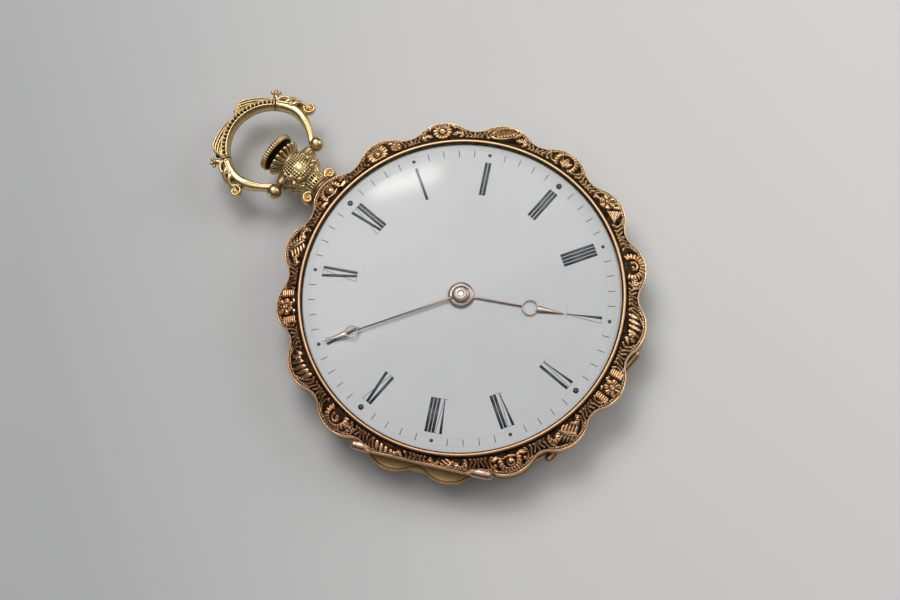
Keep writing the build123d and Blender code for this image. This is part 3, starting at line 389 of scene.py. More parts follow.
# ---- strokes of the chased ornament
class Relief:
    """A height field in millimetres over points (s, t): s along the case edge, t outwards.

    side is -1 to mirror what is drawn in s.
    """

    def __init__(self, s, t, side=1):
        self.s, self.t, self.side = s, t, side
        self.height = np.zeros_like(s)

    def lift(self, height):
        self.height = np.maximum(self.height, height)

    def away(self, x, y):
        return np.hypot(self.s - x, self.t - y)

    def bead(self, at, radius, height):
        self.lift(height * ridge(self.away(at[0] * self.side, at[1]), radius))

    def stroke(self, points, width, end_width, height):
        """A ridge along a smooth path, tapering from width to end_width."""
        path = smooth_path(points, 8)
        share = np.linspace(0, 1, len(path))
        for (x, y), f in zip(path, share):
            half = (width + (end_width - width) * f) / 2
            away = self.away(x * self.side, y)
            self.lift(height * (1 - 0.35 * f) * ridge(away, half))

    def leaf(self, root, tip, width, height, vein=0.35):
        """A pointed leaf, highest along its middle, with a sunk vein."""
        root, tip = (np.array((x * self.side, y)) for x, y in (root, tip))
        length = np.hypot(*(tip - root))
        along = (tip - root) / length
        u = ((self.s - root[0]) * along[0] + (self.t - root[1]) * along[1]) / length
        v = (self.t - root[1]) * along[0] - (self.s - root[0]) * along[1]
        half = width / 2 * np.sin(pi * np.clip(u, 0, 1) ** 0.75) ** 0.7 + 1e-6
        inside = (u > 0) & (u < 1)
        shape = ridge(np.abs(v), half) * inside
        self.lift(height * shape * (1 - vein * np.exp(-((v / 0.07) ** 2))))

    def flutes(self, at, inner, outer, first, last, count, height):
        """Ribs fanning out from a point between two directions in degrees, 90 being outwards."""
        x, y = at[0] * self.side, at[1]
        away = self.away(x, y)
        turn = (np.degrees(np.arctan2(self.t - y, self.s - x)) - first) % 360
        spread = last - first
        rib = np.abs(np.sin(pi * count * turn / spread))
        end = outer * (0.86 + 0.14 * np.sqrt(rib))
        window = smoothstep((away - inner) / 0.12) * smoothstep((end - away) / 0.14) * (turn <= spread)
        self.lift(height * window * np.sqrt(rib))

    def spiral(self, at, outer, inner, first, turns, width, height):
        """A ridge that winds from outer to inner, from a direction in degrees."""
        share = np.linspace(0, 1, 9)
        angle = np.radians(first) + 2 * pi * turns * share
        reach = outer + (inner - outer) * share
        self.stroke(np.stack([at[0] + reach * np.cos(angle), at[1] + reach * np.sin(angle)], -1),
                    width, width * 0.8, height)


def smooth_path(points, steps):
    """Points on a Catmull-Rom curve through the given ones."""
    p = np.asarray(points, float)
    p = np.vstack([2 * p[0] - p[1], p, 2 * p[-1] - p[-2]])
    t = np.linspace(0, 1, steps, endpoint=False)[:, None]
    out = []
    for a, b, c, d in zip(p[:-3], p[1:-2], p[2:-1], p[3:]):
        out.append(0.5 * (2 * b + (c - a) * t + (2 * a - 5 * b + 4 * c - d) * t**2
                          + (3 * b - a - 3 * c + d) * t**3))
    out.append(p[-2][None, :])
    return np.vstack(out)


# Each motif fills the middle 5 mm of a lobe. Its x is mirrored by the relief's side; its y is t.
def shell_and_ball(r):
    r.flutes((0, 0.75), 0.75, 1.45, -25, 205, 13, 0.34)
    r.bead((0.1, 1.05), 0.52, 0.42)
    r.stroke([(-0.75 * r.side, 0.55), (0, 0.35), (0.75 * r.side, 0.55)], 0.28, 0.2, 0.28)
    for end in (-1, 1):
        r.leaf((1.15 * end, 0.25), (2.25 * end, 0.55), 0.5, 0.3)
        r.bead((1.7 * end, 1.05), 0.2, 0.24)


def fan_and_flower(r):
    r.flutes((-0.45, 0.8), 0.42, 1.3, -20, 340, 15, 0.34)
    r.bead((-0.45, 0.85), 0.42, 0.4)
    r.flutes((1.65, 0.62), 0.16, 0.62, 0, 360, 6, 0.3)
    r.bead((1.65, 0.62), 0.2, 0.34)
    r.leaf((1.0, 1.5), (1.9, 1.1), 0.35, 0.28)


def rosette(r):
    r.flutes((0, 1.0), 0.4, 1.12, 0, 360, 14, 0.36)
    r.bead((0, 1.0), 0.42, 0.3)
    for k in range(7):
        turn = 2 * pi * k / 7
        r.bead((0.24 * cos(turn), 1.0 + 0.24 * sin(turn)), 0.13, 0.42)
    r.flutes((0, 0.9), 1.3, 1.75, 20, 160, 13, 0.22)
    for end in (-1, 1):
        r.flutes((1.75 * end, 0.35), 0.15, 0.75, 0, 180, 6, 0.28)


def framed_leaf(r):
    turn = radians(24)
    x, y = r.s + 0.25, r.t - 1.1
    u = (x * cos(turn) + y * sin(turn)) / 1.75
    v = (y * cos(turn) - x * sin(turn)) / 0.8
    edge = np.abs(np.hypot(u, v) - 0.86)
    r.lift(0.42 * ridge(edge, 0.17))
    ribs = np.abs(np.sin(5.2 * pi * u)) * (np.hypot(u, v) < 0.66)
    r.lift(0.34 * np.sqrt(ribs) * smoothstep((0.66 - np.abs(v)) / 0.2))
    r.flutes((1.75, 0.4), 0.12, 0.85, 10, 170, 6, 0.3)
    r.leaf((-2.3, 0.4), (-1.4, 0.35), 0.35, 0.26)


def shell_and_bud(r):
    r.flutes((0, 0.85), 0.85, 1.45, -50, 230, 17, 0.32)
    r.leaf((0, 0.15), (0, 1.5), 0.85, 0.44, 0.6)
    r.leaf((-0.25, 0.3), (-0.6, 1.25), 0.42, 0.34)
    r.leaf((0.25, 0.3), (0.6, 1.25), 0.42, 0.34)
    for end in (-1, 1):
        r.stroke([(1.2 * end, 0.2), (1.75 * end, 0.5), (1.95 * end, 1.0)], 0.22, 0.14, 0.28)


def flower_and_stripes(r):
    r.flutes((-0.75, 1.0), 0.24, 1.0, 0, 360, 6, 0.38)
    r.bead((-0.75, 1.0), 0.28, 0.44)
    u, v = r.s - 0.95, r.t - 0.35
    inside = (v > 0) & (v < 1.35) & (np.abs(u) < 0.75 * (1.35 - v) / 1.35 + 0.1)
    r.lift(0.3 * np.sqrt(np.abs(np.sin(pi * v / 0.22))) * inside)
    r.leaf((0.15, 1.2), (0.55, 2.1), 0.4, 0.36)
    r.leaf((-0.3, 1.7), (0.1, 2.2), 0.3, 0.3)
    r.leaf((-2.2, 0.35), (-1.5, 0.6), 0.4, 0.28)


def fluted_fan(r):
    r.flutes((0.1, 0.65), 0.82, 1.6, -30, 210, 15, 0.36)
    r.spiral((0.15, 0.85), 0.55, 0.15, 200, -0.9, 0.3, 0.42)
    r.bead((0.2, 0.75), 0.26, 0.4)
    r.flutes((1.9, 0.3), 0.1, 0.95, 20, 160, 7, 0.26)


def leaf_sprays(r):
    for k in range(5):
        root = (-1.5 + 0.62 * k, 0.12 + 0.08 * k)
        tip = (-1.05 + 0.62 * k, 1.35 + 0.28 * min(k, 4 - k))
        r.leaf(root, tip, 0.52, 0.38 - 0.02 * abs(k - 2))
    r.stroke([(-2.0, 0.4), (-1.5, 1.2), (-0.6, 1.85)], 0.2, 0.14, 0.3)
    r.bead((0.9, 0.75), 0.4, 0.42)
    r.leaf((1.1, 0.25), (1.95, 0.8), 0.42, 0.34)


def daisy_and_hatching(r):
    r.flutes((0, 1.15), 0.3, 1.0, 10, 370, 7, 0.38)
    r.bead((0, 1.15), 0.36, 0.46)
    r.height -= 0.2 * ridge(np.hypot(r.s, r.t - 1.15), 0.13)
    for end in (-1, 1):
        away = np.abs(r.s * end - 1.55)
        bars = np.sqrt(np.abs(np.sin(pi * (r.t - 0.1) / 0.24)))
        r.lift(0.26 * bars * smoothstep((0.45 - away) / 0.1) * (r.t < 1.5) * (r.t > 0.1))
        r.leaf((0.35 * end, 0.12), (1.0 * end, 0.3), 0.3, 0.28)


def feather_leaf(r):
    r.leaf((-0.75, 1.75), (0.75, 0.2), 0.62, 0.46, 0.15)
    for k in range(5):
        f = 0.15 + 0.17 * k
        x, y = -0.75 + 1.5 * f, 1.75 - 1.55 * f
        r.leaf((x, y), (x - 0.95, y - 0.55), 0.3, 0.32)
        r.leaf((x, y), (x + 1.0, y + 0.38), 0.3, 0.32)
    r.flutes((-1.5, 0.3), 0.15, 0.75, 0, 180, 6, 0.3)
    r.flutes((1.55, 0.5), 0.15, 0.8, -20, 200, 7, 0.28)


MOTIF_SCALE = 1.16
MOTIFS = [
    (shell_and_ball, 1), (fan_and_flower, 1), (rosette, 1), (framed_leaf, 1), (shell_and_bud, 1),
    (flower_and_stripes, 1), (fluted_fan, 1), (leaf_sprays, 1), (daisy_and_hatching, 1), (feather_leaf, 1),
    (shell_and_ball, -1), (feather_leaf, -1), (leaf_sprays, -1), (fluted_fan, -1), (leaf_sprays, 1),
    (daisy_and_hatching, -1), (feather_leaf, 1),
]


def frame_strokes(r, room):
    """The C-scrolls that frame a motif and the radial S-curls in the hollows beside it."""
    for end in (-1, 1):
        r.stroke([(2.3 * end, 0.12), (2.62 * end, 0.6), (2.45 * end, 1.2), (2.0 * end, 1.65)], 0.3, 0.14,
                 0.36)
        r.bead((2.28 * end, 0.2), 0.22, 0.34)
        for across, reach in ((3.1, 1.15), (3.62, 1.0)):
            r.stroke([(across * end, 0.1), ((across + 0.16) * end, 0.38), ((across - 0.06) * end, 0.75),
                      ((across - 0.2) * end, reach)], 0.36, 0.2, 0.36)
        r.stroke([(4.12 * end, 0.1), (4.12 * end, 0.5), (4.1 * end, 0.95)], 0.3, 0.2, 0.3)
    beads = np.abs(np.sin(r.s * pi / 0.34))
    arch = np.abs(room - 0.4)
    r.lift(0.2 * ridge(arch, 0.13) * (0.3 + 0.7 * beads) * (r.t > 1.3))


def blurred(values, rows, columns):
    """A box blur of a height field that closes on itself along its columns."""
    for _ in range(2):
        values = sum(np.roll(values, k, 1) for k in range(-columns, columns + 1)) / (2 * columns + 1)
        padded = np.pad(values, ((rows, rows), (0, 0)), mode="edge")
        values = sum(padded[k:k + values.shape[0]] for k in range(2 * rows + 1)) / (2 * rows + 1)
    return values


# ---- bezel
BEZEL_IN = 20.1                    # the opening round the crystal
RELIEF_IN = 20.84                  # where the chased collar meets the smooth bead
COLLAR_HIGH, COLLAR_DROP = 6.95, 0.95
RIM_WIDTH = 0.2
RELIEF_SCALE = 1.45
# Recesses darken with tarnish and painted shade.
PATINA_AND_SHADE_GAIN = 12                   # how fast a recess in the relief turns dark
LOBE_COLUMNS, RELIEF_ROWS = 90, 36
HINGE_LIP = 0.6                    # how far the collar reaches out over the hinge tube
VAULT_R, VAULT_HALF = 0.68, 9.3    # the room kept for the hinge's tubes, and half its length
HALF_LOBE = 4.12                   # from the middle of a motif to the middle of the hollow beside it


def hinge_vault(x, y):
    """Lowest height the bezel may have over its hinge's tubes."""
    turn = radians(BEZEL_HINGE_CLOCK)
    out = x * np.sin(turn) + y * np.cos(turn)
    across = x * np.cos(turn) - y * np.sin(turn)
    away = np.clip(HINGE_REACH - out, 0, None)
    roof = HINGE_Z + np.sqrt(np.clip(VAULT_R**2 - away**2, 0, None))
    near = (np.abs(across) < VAULT_HALF) & (out > HINGE_REACH - VAULT_R)
    return np.where(near, np.maximum(roof, BEZEL_BOTTOM), BEZEL_BOTTOM)


def make_bezel():
    columns = LOBES * LOBE_COLUMNS
    clock = np.arange(columns) * 360 / columns
    scallop = scallop_reach(clock)
    edge = np.minimum(scallop, chord_reach(clock, BEZEL_HINGE_CLOCK, HINGE_REACH + HINGE_LIP))
    sines, cosines = np.sin(np.radians(clock)), np.cos(np.radians(clock))

    share = np.linspace(0, 1, RELIEF_ROWS)[:, None]
    radius = RELIEF_IN + (edge - RELIEF_IN)[None, :] * share
    t = radius - RELIEF_IN
    room = edge[None, :] - radius
    relief = np.zeros_like(radius)
    lobe, turn, half = from_lobe(clock)
    across = turn / half * HALF_LOBE
    for k, (motif, side) in enumerate(MOTIFS):
        chosen = np.flatnonzero(lobe == k)
        s = across[chosen][None, :] * np.ones_like(t[:, chosen])
        patch = Relief(s / MOTIF_SCALE, t[:, chosen] / MOTIF_SCALE, side)
        motif(patch)
        border = Relief(s, t[:, chosen])
        frame_strokes(border, room[:, chosen])
        relief[:, chosen] = np.maximum(patch.height, border.height)
    relief *= RELIEF_SCALE * rising(room, RIM_WIDTH, 0.1) * smoothstep(t / 0.08 + 0.15)
    # Darkness of tarnish and painted shade: the relief's recesses and its low ground turn dark, fading out at the
    # rim.
    patina_and_shade = np.clip((blurred(relief, 3, 4) - relief) * PATINA_AND_SHADE_GAIN + 0.94 - relief * 2.6, 0, 1)
    patina_and_shade *= smoothstep((room - RIM_WIDTH * 0.6) / 0.1)
    rim = 0.2 * ridge(np.abs(room - RIM_WIDTH / 2), RIM_WIDTH / 2 + 0.02)
    height = COLLAR_HIGH - COLLAR_DROP * (t / (scallop - RELIEF_IN)[None, :]) ** 1.45
    height = height + relief + rim

    rows, shades = [], []

    def loop(r, z, shade):
        rows.append(xyz(r * sines, r * cosines, z))
        shades.append(np.broadcast_to(shade, columns))

    # Painted shade: the crystal's seat and the creases either side of the bead are dark, and the bead's flat is
    # toned down against its bright reflection.
    for r, z, shade in (
        (BEZEL_IN, 5.8, 0.5), (BEZEL_IN, 7.02, 0.9), (20.4, 7.03, 0.9), (20.4, 7.4, 0.9),
        (BEZEL_IN, 7.41, 1.0),
        (20.13, 7.44, 1.0), (20.19, 7.46, 1.0), (20.23, 7.52, 0.6), (20.27, 7.56, 0.42),
        (20.34, 7.58, 0.36),
        (20.44, 7.57, 0.36), (20.51, 7.55, 0.36), (20.56, 7.48, 0.5), (20.6, 7.36, 0.9), (20.64, 7.1, 1.0),
        (20.7, 6.96, 1.0), (20.76, 6.93, 1.0),
    ):
        loop(r, z, shade)
    for k in range(RELIEF_ROWS):
        loop(radius[k], height[k], patina_and_shade[k])
    floor = hinge_vault(edge * sines, edge * cosines)
    # Painted shade: the outer wall darkens towards its foot.
    for f, shade in ((0.35, 0.1), (0.7, 0.3), (1.0, 0.5)):
        loop(edge, height[-1] + (floor - height[-1]) * f, shade)
    # Painted shade on the underside.
    for f in (0.97, 0.85, 0.7, 0.55, 0.4, 0.25, 0.12):
        r = BEZEL_IN + (edge - BEZEL_IN) * f
        loop(r, hinge_vault(r * sines, r * cosines), 0.6)
    faces = grid_faces(len(rows), columns)[:, ::-1]
    return make_mesh("chased_bezel", np.concatenate(rows), faces, ROSE, np.concatenate(shades))


# ---- solids built from points
class Solid:
    """Closed shells gathered into one mesh."""

    def __init__(self):
        self.verts, self.faces, self.shades = [], [], []

    def add(self, verts, faces, shade=0.0):
        start = len(self.verts)
        verts = np.asarray(verts, float)
        self.verts.extend(verts)
        self.faces.extend(tuple(int(i) + start for i in face) for face in faces)
        self.shades.extend(np.broadcast_to(np.asarray(shade, float), (len(verts),)))

    def loft(self, loops, shade=0.0):
        """Rings of points joined into a closed skin with flat ends."""
        loops = np.asarray(loops, float)
        rows, columns = loops.shape[:2]
        faces = [tuple(f) for f in grid_faces(rows, columns, close_rows=False)]
        faces.append(tuple(range(columns))[::-1])
        faces.append(tuple((rows - 1) * columns + i for i in range(columns)))
        self.add(loops.reshape(-1, 3), faces, np.reshape(shade, -1) if np.ndim(shade) else shade)

    def lathe(self, profile, sides, place, shade=0.0):
        """A closed profile of (radius, height) turned about an axis; place puts it in the frame."""
        turn = around(sides)
        rows = [xyz(*place(r * np.cos(turn), r * np.sin(turn), h)) for r, h in profile]
        shades = np.repeat(np.asarray(shade, float), sides) if np.ndim(shade) else shade
        self.add(np.concatenate(rows), grid_faces(len(profile), sides), shades)

    def tube(self, points, widths, heights, up=(0, 0, 1), sides=14, shade=0.0):
        """A tapered oval tube along a path; widths lie across it, heights along up, both half sizes."""
        points = np.asarray(points, float)
        n = len(points)
        along = np.gradient(points, axis=0)
        along /= np.linalg.norm(along, axis=1, keepdims=True)
        up = np.broadcast_to(np.asarray(up, float), (n, 3))
        across = np.cross(along, up)
        across /= np.linalg.norm(across, axis=1, keepdims=True)
        lift = np.cross(across, along)
        widths, heights = (np.broadcast_to(v, n)[:, None, None] for v in (widths, heights))
        turn = around(sides)
        loops = (points[:, None, :] + across[:, None, :] * widths * np.cos(turn)[None, :, None]
                 + lift[:, None, :] * heights * np.sin(turn)[None, :, None])
        self.loft(loops, shade)

    def ball(self, at, radius, squash=(1, 1, 1)):
        rows, turn = 9, around(16)
        loops = []
        for k in range(rows):
            a = pi * (k + 0.5) / rows
            unit = sin(a) * np.cos(turn), sin(a) * np.sin(turn), cos(a)
            loops.append(xyz(*(c + radius * s * u for c, s, u in zip(at, squash, unit))))
        self.loft(loops)

    def build(self, name, material, with_patina_and_shade=False):
        shades = self.shades if with_patina_and_shade else None
        return make_mesh(name, self.verts, self.faces, material, shades)


def leaf_taper(n, blunt=0.55):
    """Half width along a leaf, from its root to a pointed tip."""
    f = np.linspace(0, 1, n)
    return np.clip((0.55 + 0.45 * np.sin(pi * f**0.8)) * (1 - f**3) ** blunt, 0.06, None)


def on_axis(x, y, h):
    """A lathe about the dial's axis."""
    return x, y, h


# ---- hinge ends
def on_hinge(side=1):
    """A lathe about the bezel hinge's axis, from its middle towards one end."""
    def place(x, y, h):
        return *turned(BEZEL_HINGE_CLOCK, HINGE_REACH + x, side * h), HINGE_Z + y
    return place


def make_hinge_tube():
    """The tube that the bezel owns on its hinge, with softened ends."""
    half, bore, edge, r, round_off = 4.4, 0.35, 0.52, 0.6, 0.08
    profile = [(bore, -half), (edge, -half), (r, -half + round_off), (r, half - round_off),
               (edge, half), (bore, half)]
    solid = Solid()
    solid.lathe(profile, 40, on_hinge())
    return solid.build("bezel_hinge_tube", SHADED_CASE_GOLD)


def make_barrel_ends():
    """The pointed sleeves that close the bezel hinge at both ends."""
    solid = Solid()
    profile = [(0.5, 6.4), (0.63, 6.42), (0.66, 6.55), (0.65, 7.95), (0.6, 8.35), (0.44, 8.7),
               (0.2, 8.9), (0.02, 8.95)]
    for side in (-1, 1):
        solid.lathe(profile, 32, on_hinge(side))
    return solid.build("bezel_hinge_barrel_ends", PINK_GOLD)


# ---- back cover's milled edge
MILL_COLUMNS, MILL_TEETH = 112, 28       # columns and teeth in one scallop
BACK_HINGE_CLOCK = 180


def make_milled_edge():
    """A rope of slanting teeth along the rim of the back cover, open where the hinge crosses it."""
    low, high = 3.05, 3.65           # the rim of the CAD back cover
    columns = LOBES * MILL_COLUMNS
    clock = BACK_HINGE_CLOCK + (np.arange(columns) + 0.5) * 360 / columns
    reach = scallop_reach(clock, 0.15)
    keep = reach * np.cos(np.radians(clock - BACK_HINGE_CLOCK)) <= HINGE_REACH - 0.05
    clock, reach = clock[keep], reach[keep]
    tooth = np.radians(clock) * LOBES * MILL_TEETH
    section = [(-0.4, low + 0.05), (0.0, low + 0.02), (0.08, low + 0.12), (0.12, low + 0.24),
               (0.12, high - 0.2),
               (0.09, high - 0.08), (0.02, high + 0.03), (-0.16, high + 0.06), (-0.4, high - 0.02)]
    loops, shades = [], []
    for out, z in section:
        groove = 0.5 + 0.5 * np.cos(tooth + (z - low) * 9)
        r = reach + out - (0.17 * (1 - groove) if out > -0.1 else 0)
        loops.append(xyz(r * np.sin(np.radians(clock)), r * np.cos(np.radians(clock)), z))
        # Painted shade: the valleys between the teeth are dark.
        shades.append(np.clip(1.15 - 1.5 * groove, 0, 1))
    solid = Solid()
    solid.loft(np.stack(loops, 1), np.stack(shades, 1))
    return solid.build("back_cover_milled_edge", CHASED_GOLD, True)


# ---- pendant
BOSS_REACH = 3.13                  # the flat faces of the bosses, where the bow's balls turn


def pendant_ring(reach, turn, level):
    """A ring about the pendant's axis."""
    return xyz(reach * np.cos(turn), level, PENDANT_Z + reach * np.sin(turn))


def make_pendant():
    """The chased pendant: waisted neck, bead diaper round a dome, side bosses, pleated collar."""
    columns, rows = 240, 130
    bore, foot, lip = 0.76, 23.62, 30.45
    body = [(foot, 1.72), (23.9, 1.62), (24.3, 1.48), (24.8, 1.46), (25.2, 1.52), (25.6, 1.72),
            (26.0, 1.95),
            (26.5, 2.14), (27.0, 2.22), (27.5, 2.2), (28.0, 2.1), (28.5, 1.93), (28.9, 1.74), (29.2, 1.6),
            (29.3, 1.58), (29.55, 1.8), (29.85, 2.12), (30.12, 2.42), (30.3, 2.55), (30.4, 2.55),
            (lip, 2.45)]
    heights, radii = np.array(body).T
    y = np.linspace(foot, lip, rows)
    base = np.interp(y, heights, radii)
    for _ in range(2):
        base = np.convolve(np.pad(base, 2, mode="edge"), np.ones(5) / 5, "valid")
    turn = around(columns)
    yy, tt, r = np.broadcast_arrays(y[:, None], turn, base[:, None])
    front = np.abs((tt - pi / 2 + pi) % (2 * pi) - pi)         # angle away from the dial side
    rear = pi - front
    face = np.minimum(front, rear)                             # the back repeats the front
    flank = pi / 2 - face
    # The bosses that carry the bow swell out of the body on both sides.
    across = flank * 2.0
    away = np.hypot(across, yy - PIVOT_Y)
    r = r + 1.02 * falling(away, 1.05, 0.42)
    skirt = np.hypot(across * 0.8, (yy - PIVOT_Y + 0.35) / 1.25)
    r = r + 0.28 * falling(skirt, 1.7, 0.7)
    relief = np.zeros_like(r)
    # pleats of the collar
    pleat = np.sqrt(np.abs(np.cos(tt * 10)))
    relief += 0.42 * (pleat - 0.75) * rising(yy, 29.25, 0.7) * falling(yy, 30.55, 0.12)
    # bead diaper over the body, its rows bowed, and the smooth dome in its middle
    dome = np.hypot(face * 2.2, (yy - 27.1) * 0.95)
    over, down = face * 2.2, 29.2 - yy + 0.1 * (face * 2.2) ** 2
    pitch = 0.37
    off_over, off_down = (v - pitch * np.round(v / pitch) for v in (over, down))
    beads = ridge(np.hypot(off_over, off_down), 0.18)
    zone = rising(yy, 25.7, 0.15) * falling(yy, 29.15, 0.15) * falling(face, 1.1, 0.1)
    relief += 0.16 * beads * zone * rising(dome, 0.5, 0.5)
    relief += 0.12 * falling(dome, 1.3, 1.3)
    # petal cartouches between the dome and each boss
    for level, lean in ((26.35, 0.5), (27.35, 0.2)):
        cell = np.hypot((flank * 2.2 - 0.95) / 0.7, (yy - level - lean * (flank - 0.4)) / 0.52)
        relief = np.where(cell < 1.05, 0.0, relief)
        relief += 0.26 * ridge(np.abs(cell - 0.78), 0.27) + 0.2 * ridge(cell, 0.42)
    # reeded block of the neck: two rows of slots front and back
    block = falling(face, 0.85, 0.1) * rising(yy, 23.9, 0.1) * falling(yy, 25.5, 0.1)
    relief = relief * (1 - block) + 0.3 * block
    slot_u = np.abs(((face * 1.75) / 0.4 + 0.5) % 1 - 0.5) * 0.4
    for level in (24.35, 25.05):
        slot = falling(slot_u, 0.12, 0.05) * falling(np.abs(yy - level), 0.24, 0.06)
        relief -= 0.3 * slot * block
    # acanthus ribs on the neck's flanks
    rib = np.sqrt(np.abs(np.sin((flank * 4.2 + (yy - 24.0) * 0.9) * 2.4)))
    zone = rising(face, 0.82, 0.1) * falling(yy, 26.9, 0.5) * rising(yy, 23.8, 0.3)
    relief += 0.2 * rib * zone
    relief *= 1 - 0.9 * falling(away, 0.98, 0.2)
    # Darkness of tarnish and painted shade in the recesses and on the low ground.
    patina_and_shade = np.clip((blurred(relief, 2, 3) - relief) * PATINA_AND_SHADE_GAIN + 0.3 - relief * 1.2, 0, 1)
    r = r + relief
    x = np.clip(r * np.cos(tt), -BOSS_REACH, BOSS_REACH)
    loops = list(xyz(x, yy, PENDANT_Z + r * np.sin(tt)))
    shades = list(patina_and_shade)
    # Painted shade: the face round the bore and the bore itself are dark.
    inside = (lip, 1.5, 0.6), (lip - 0.01, bore, 0.9), (24.0, bore, 1.0), (foot, bore, 1.0)
    for level, reach, shade in inside:
        loops.append(pendant_ring(reach, turn, level))
        shades.append(np.full(columns, shade))
    solid = Solid()
    faces = grid_faces(len(loops), columns)[:, ::-1]
    solid.add(np.concatenate(loops), faces, np.concatenate(shades))
    # petals, scrolls at the foot, and leaves that run from the neck up to the bosses
    for side in (-1, 1):
        for x, level, out, size in (
            (1.62, 27.25, 1.78, 0.5), (1.95, 26.45, 1.28, 0.46), (1.15, 26.2, 1.78, 0.46),
            (1.75, 28.2, 1.3, 0.36),
        ):
            for face in (-1, 1):
                solid.ball((side * x, level, PENDANT_Z + face * out), size, (1, 0.72, 0.9))
        add_volute(solid, (side * 2.15, 24.08), 0.74, 0.3, 90 + side * 90, -side * 1.1, 0.36, 0.95)
        for k, (foot, knee, tip) in enumerate((
            ((0.85, 25.35), (1.5, 26.0), (2.6, 27.45)), ((1.1, 25.1), (1.75, 25.95), (2.75, 27.35)),
            ((1.2, 25.7), (1.85, 26.6), (2.45, 27.7)),
        )):
            for face in (-1, 1):
                path = smooth_path([(side * p[0], p[1]) for p in (foot, knee, tip)], 7)
                rise = np.linspace(1.2 - 0.22 * k, 0.7, len(path)) * face
                points = np.column_stack([path, PENDANT_Z + rise])
                taper = leaf_taper(len(path))
                solid.tube(points, 0.27 * taper, 0.3 * taper, shade=0.1)
    return solid.build("chased_pendant", BOW_GOLD, True)


def add_volute(solid, at, outer, inner, first, turns, half_width, half_height):
    """A scroll in the plane of the case, thinning towards its eye, with a bead in the eye."""
    share = np.linspace(0, 1, 34)
    angle = np.radians(first) + 2 * pi * turns * share
    reach = outer + (inner - outer) * share
    points = xyz(at[0] + reach * np.cos(angle), at[1] + reach * np.sin(angle), PENDANT_Z)
    solid.tube(points, half_width * (1 - 0.45 * share), half_height * (1 - 0.25 * share), shade=0.05)
    eye = inner + half_width * 0.5
    solid.ball((*at, PENDANT_Z), eye, (1, 1, half_height / eye * 0.9))


def make_button():
    """The milled push-piece on the pendant."""
    teeth = 44
    turn = around(teeth * 8)
    low, high = (corner[Y] for corner in box_mm("push_button"))
    top, rim = high - 0.2, high - 0.95
    profile = [(0.02, high, 0), (0.8, high - 0.02, 0), (1.6, high - 0.07, 0), (2.2, high - 0.14, 0),
               (2.36, top - 0.01, 0.2), (2.44, top - 0.06, 0.5), (2.5, top, 0), (2.62, top - 0.06, 0.0),
               (2.7, top - 0.1, 1), (2.7, (rim + top) / 2, 1), (2.7, rim + 0.1, 1), (2.62, rim + 0.03, 0),
               (2.5, rim, 0), (2.42, rim + 0.02, -1), (2.0, rim - 0.05, -1), (1.2, low, -1),
               (0.02, low, -1)]
    loops, shades = [], []
    for r, y, milled in profile:
        groove = np.abs(np.cos(turn * teeth / 2)) ** 0.6
        reach = r - 0.13 * (1 - groove) * max(milled, 0)
        loops.append(pendant_ring(reach, turn, y))
        # Painted shade: the grooves of the milling are dark, and the whole underside is dark.
        shade = np.clip(0.8 - groove, 0.08, 1) * (milled + 0.2)
        shades.append(np.ones_like(groove) if milled < 0 else shade)
    solid = Solid()
    solid.loft(loops, np.stack(shades))
    return solid.build("milled_push_button", BOW_GOLD, True)


# ---- bow
BOW_CENTRE_Y, BOW_MEAN_R = 32.55, 5.95
FINIAL_TURN, VOLUTE_TURN = 55.6, 93.0
ARM_DRAW = 0.5                     # how far the arms draw inwards towards the balls


def bow_point(turn, out, rise=0.0):
    """A point by its angle from the bow's top towards +X, its way outwards and its rise."""
    x, y = turned(turn, BOW_MEAN_R + out)
    return x, BOW_CENTRE_Y + y, PENDANT_Z + rise


def bow_path(points):
    return np.array([bow_point(*point) for point in smooth_path(points, 8)])


def make_bow():
    solid = Solid()
    columns, rows = 460, 48
    turn = np.linspace(-134.0, 134.0, columns)
    tt, aa = np.broadcast_arrays(turn[:, None], around(rows))
    away = np.abs(tt)
    arm = rising(away, 88, 40)
    width = 0.7 - 0.24 * arm
    thick = 0.98 - 0.3 * arm
    rounded = ((width, np.cos(aa)), (thick, np.sin(aa)))
    out, rise = (half * np.sign(v) * np.abs(v) ** 0.8 for half, v in rounded)
    face = np.clip(np.abs(np.sin(aa)) * 2.2 - 0.9, 0, 1)
    crown = falling(away, FINIAL_TURN - 1.5, 1.5)
    along = np.radians(tt) * BOW_MEAN_R
    channel = falling(np.abs(out - 0.08), 0.24, 0.07)
    bars = falling(np.abs((along / 0.55) % 1 * 0.55 - 0.275), 0.15, 0.05)
    rails = 0.12 * ridge(np.abs(out - 0.42), 0.14) + 0.14 * ridge(np.abs(out + 0.27), 0.15)
    relief = crown * face * (rails - channel * (0.4 - 0.36 * bars))
    notch = np.minimum(np.abs(away - FINIAL_TURN), 9) * 0.105
    relief += 0.1 * ridge(np.abs(notch - 0.22), 0.13) - 0.12 * ridge(notch, 0.1)
    crease = rising(away, VOLUTE_TURN, 6)
    relief += 0.07 * crease * ridge(np.abs(out + 0.28), 0.16) * face
    # Darkness of tarnish and painted shade in the channel's recesses and along the edges of the raised work.
    edges = np.clip((blurred(relief, 2, 2) - relief) * 6, 0, 0.6)
    patina_and_shade = np.clip(np.clip(-relief * 4, 0, 1) + edges, 0, 1)
    rise = rise + np.sign(rise) * relief
    reach = BOW_MEAN_R + out - ARM_DRAW * rising(away, 80, 45)
    x, y = reach * np.sin(np.radians(tt)), BOW_CENTRE_Y + reach * np.cos(np.radians(tt))
    solid.loft(xyz(x, y, PENDANT_Z + rise), patina_and_shade)
    # plumes of acanthus, both sweeping the same way round the crown
    for start in (2.0, -53.0):
        add_plume(solid, start)
    for side in (-1, 1):
        add_finial(solid, side)
        add_twisted_leaves(solid, side)
        add_ball(solid, side)
    return solid.build("chased_bow", BOW_GOLD, True)


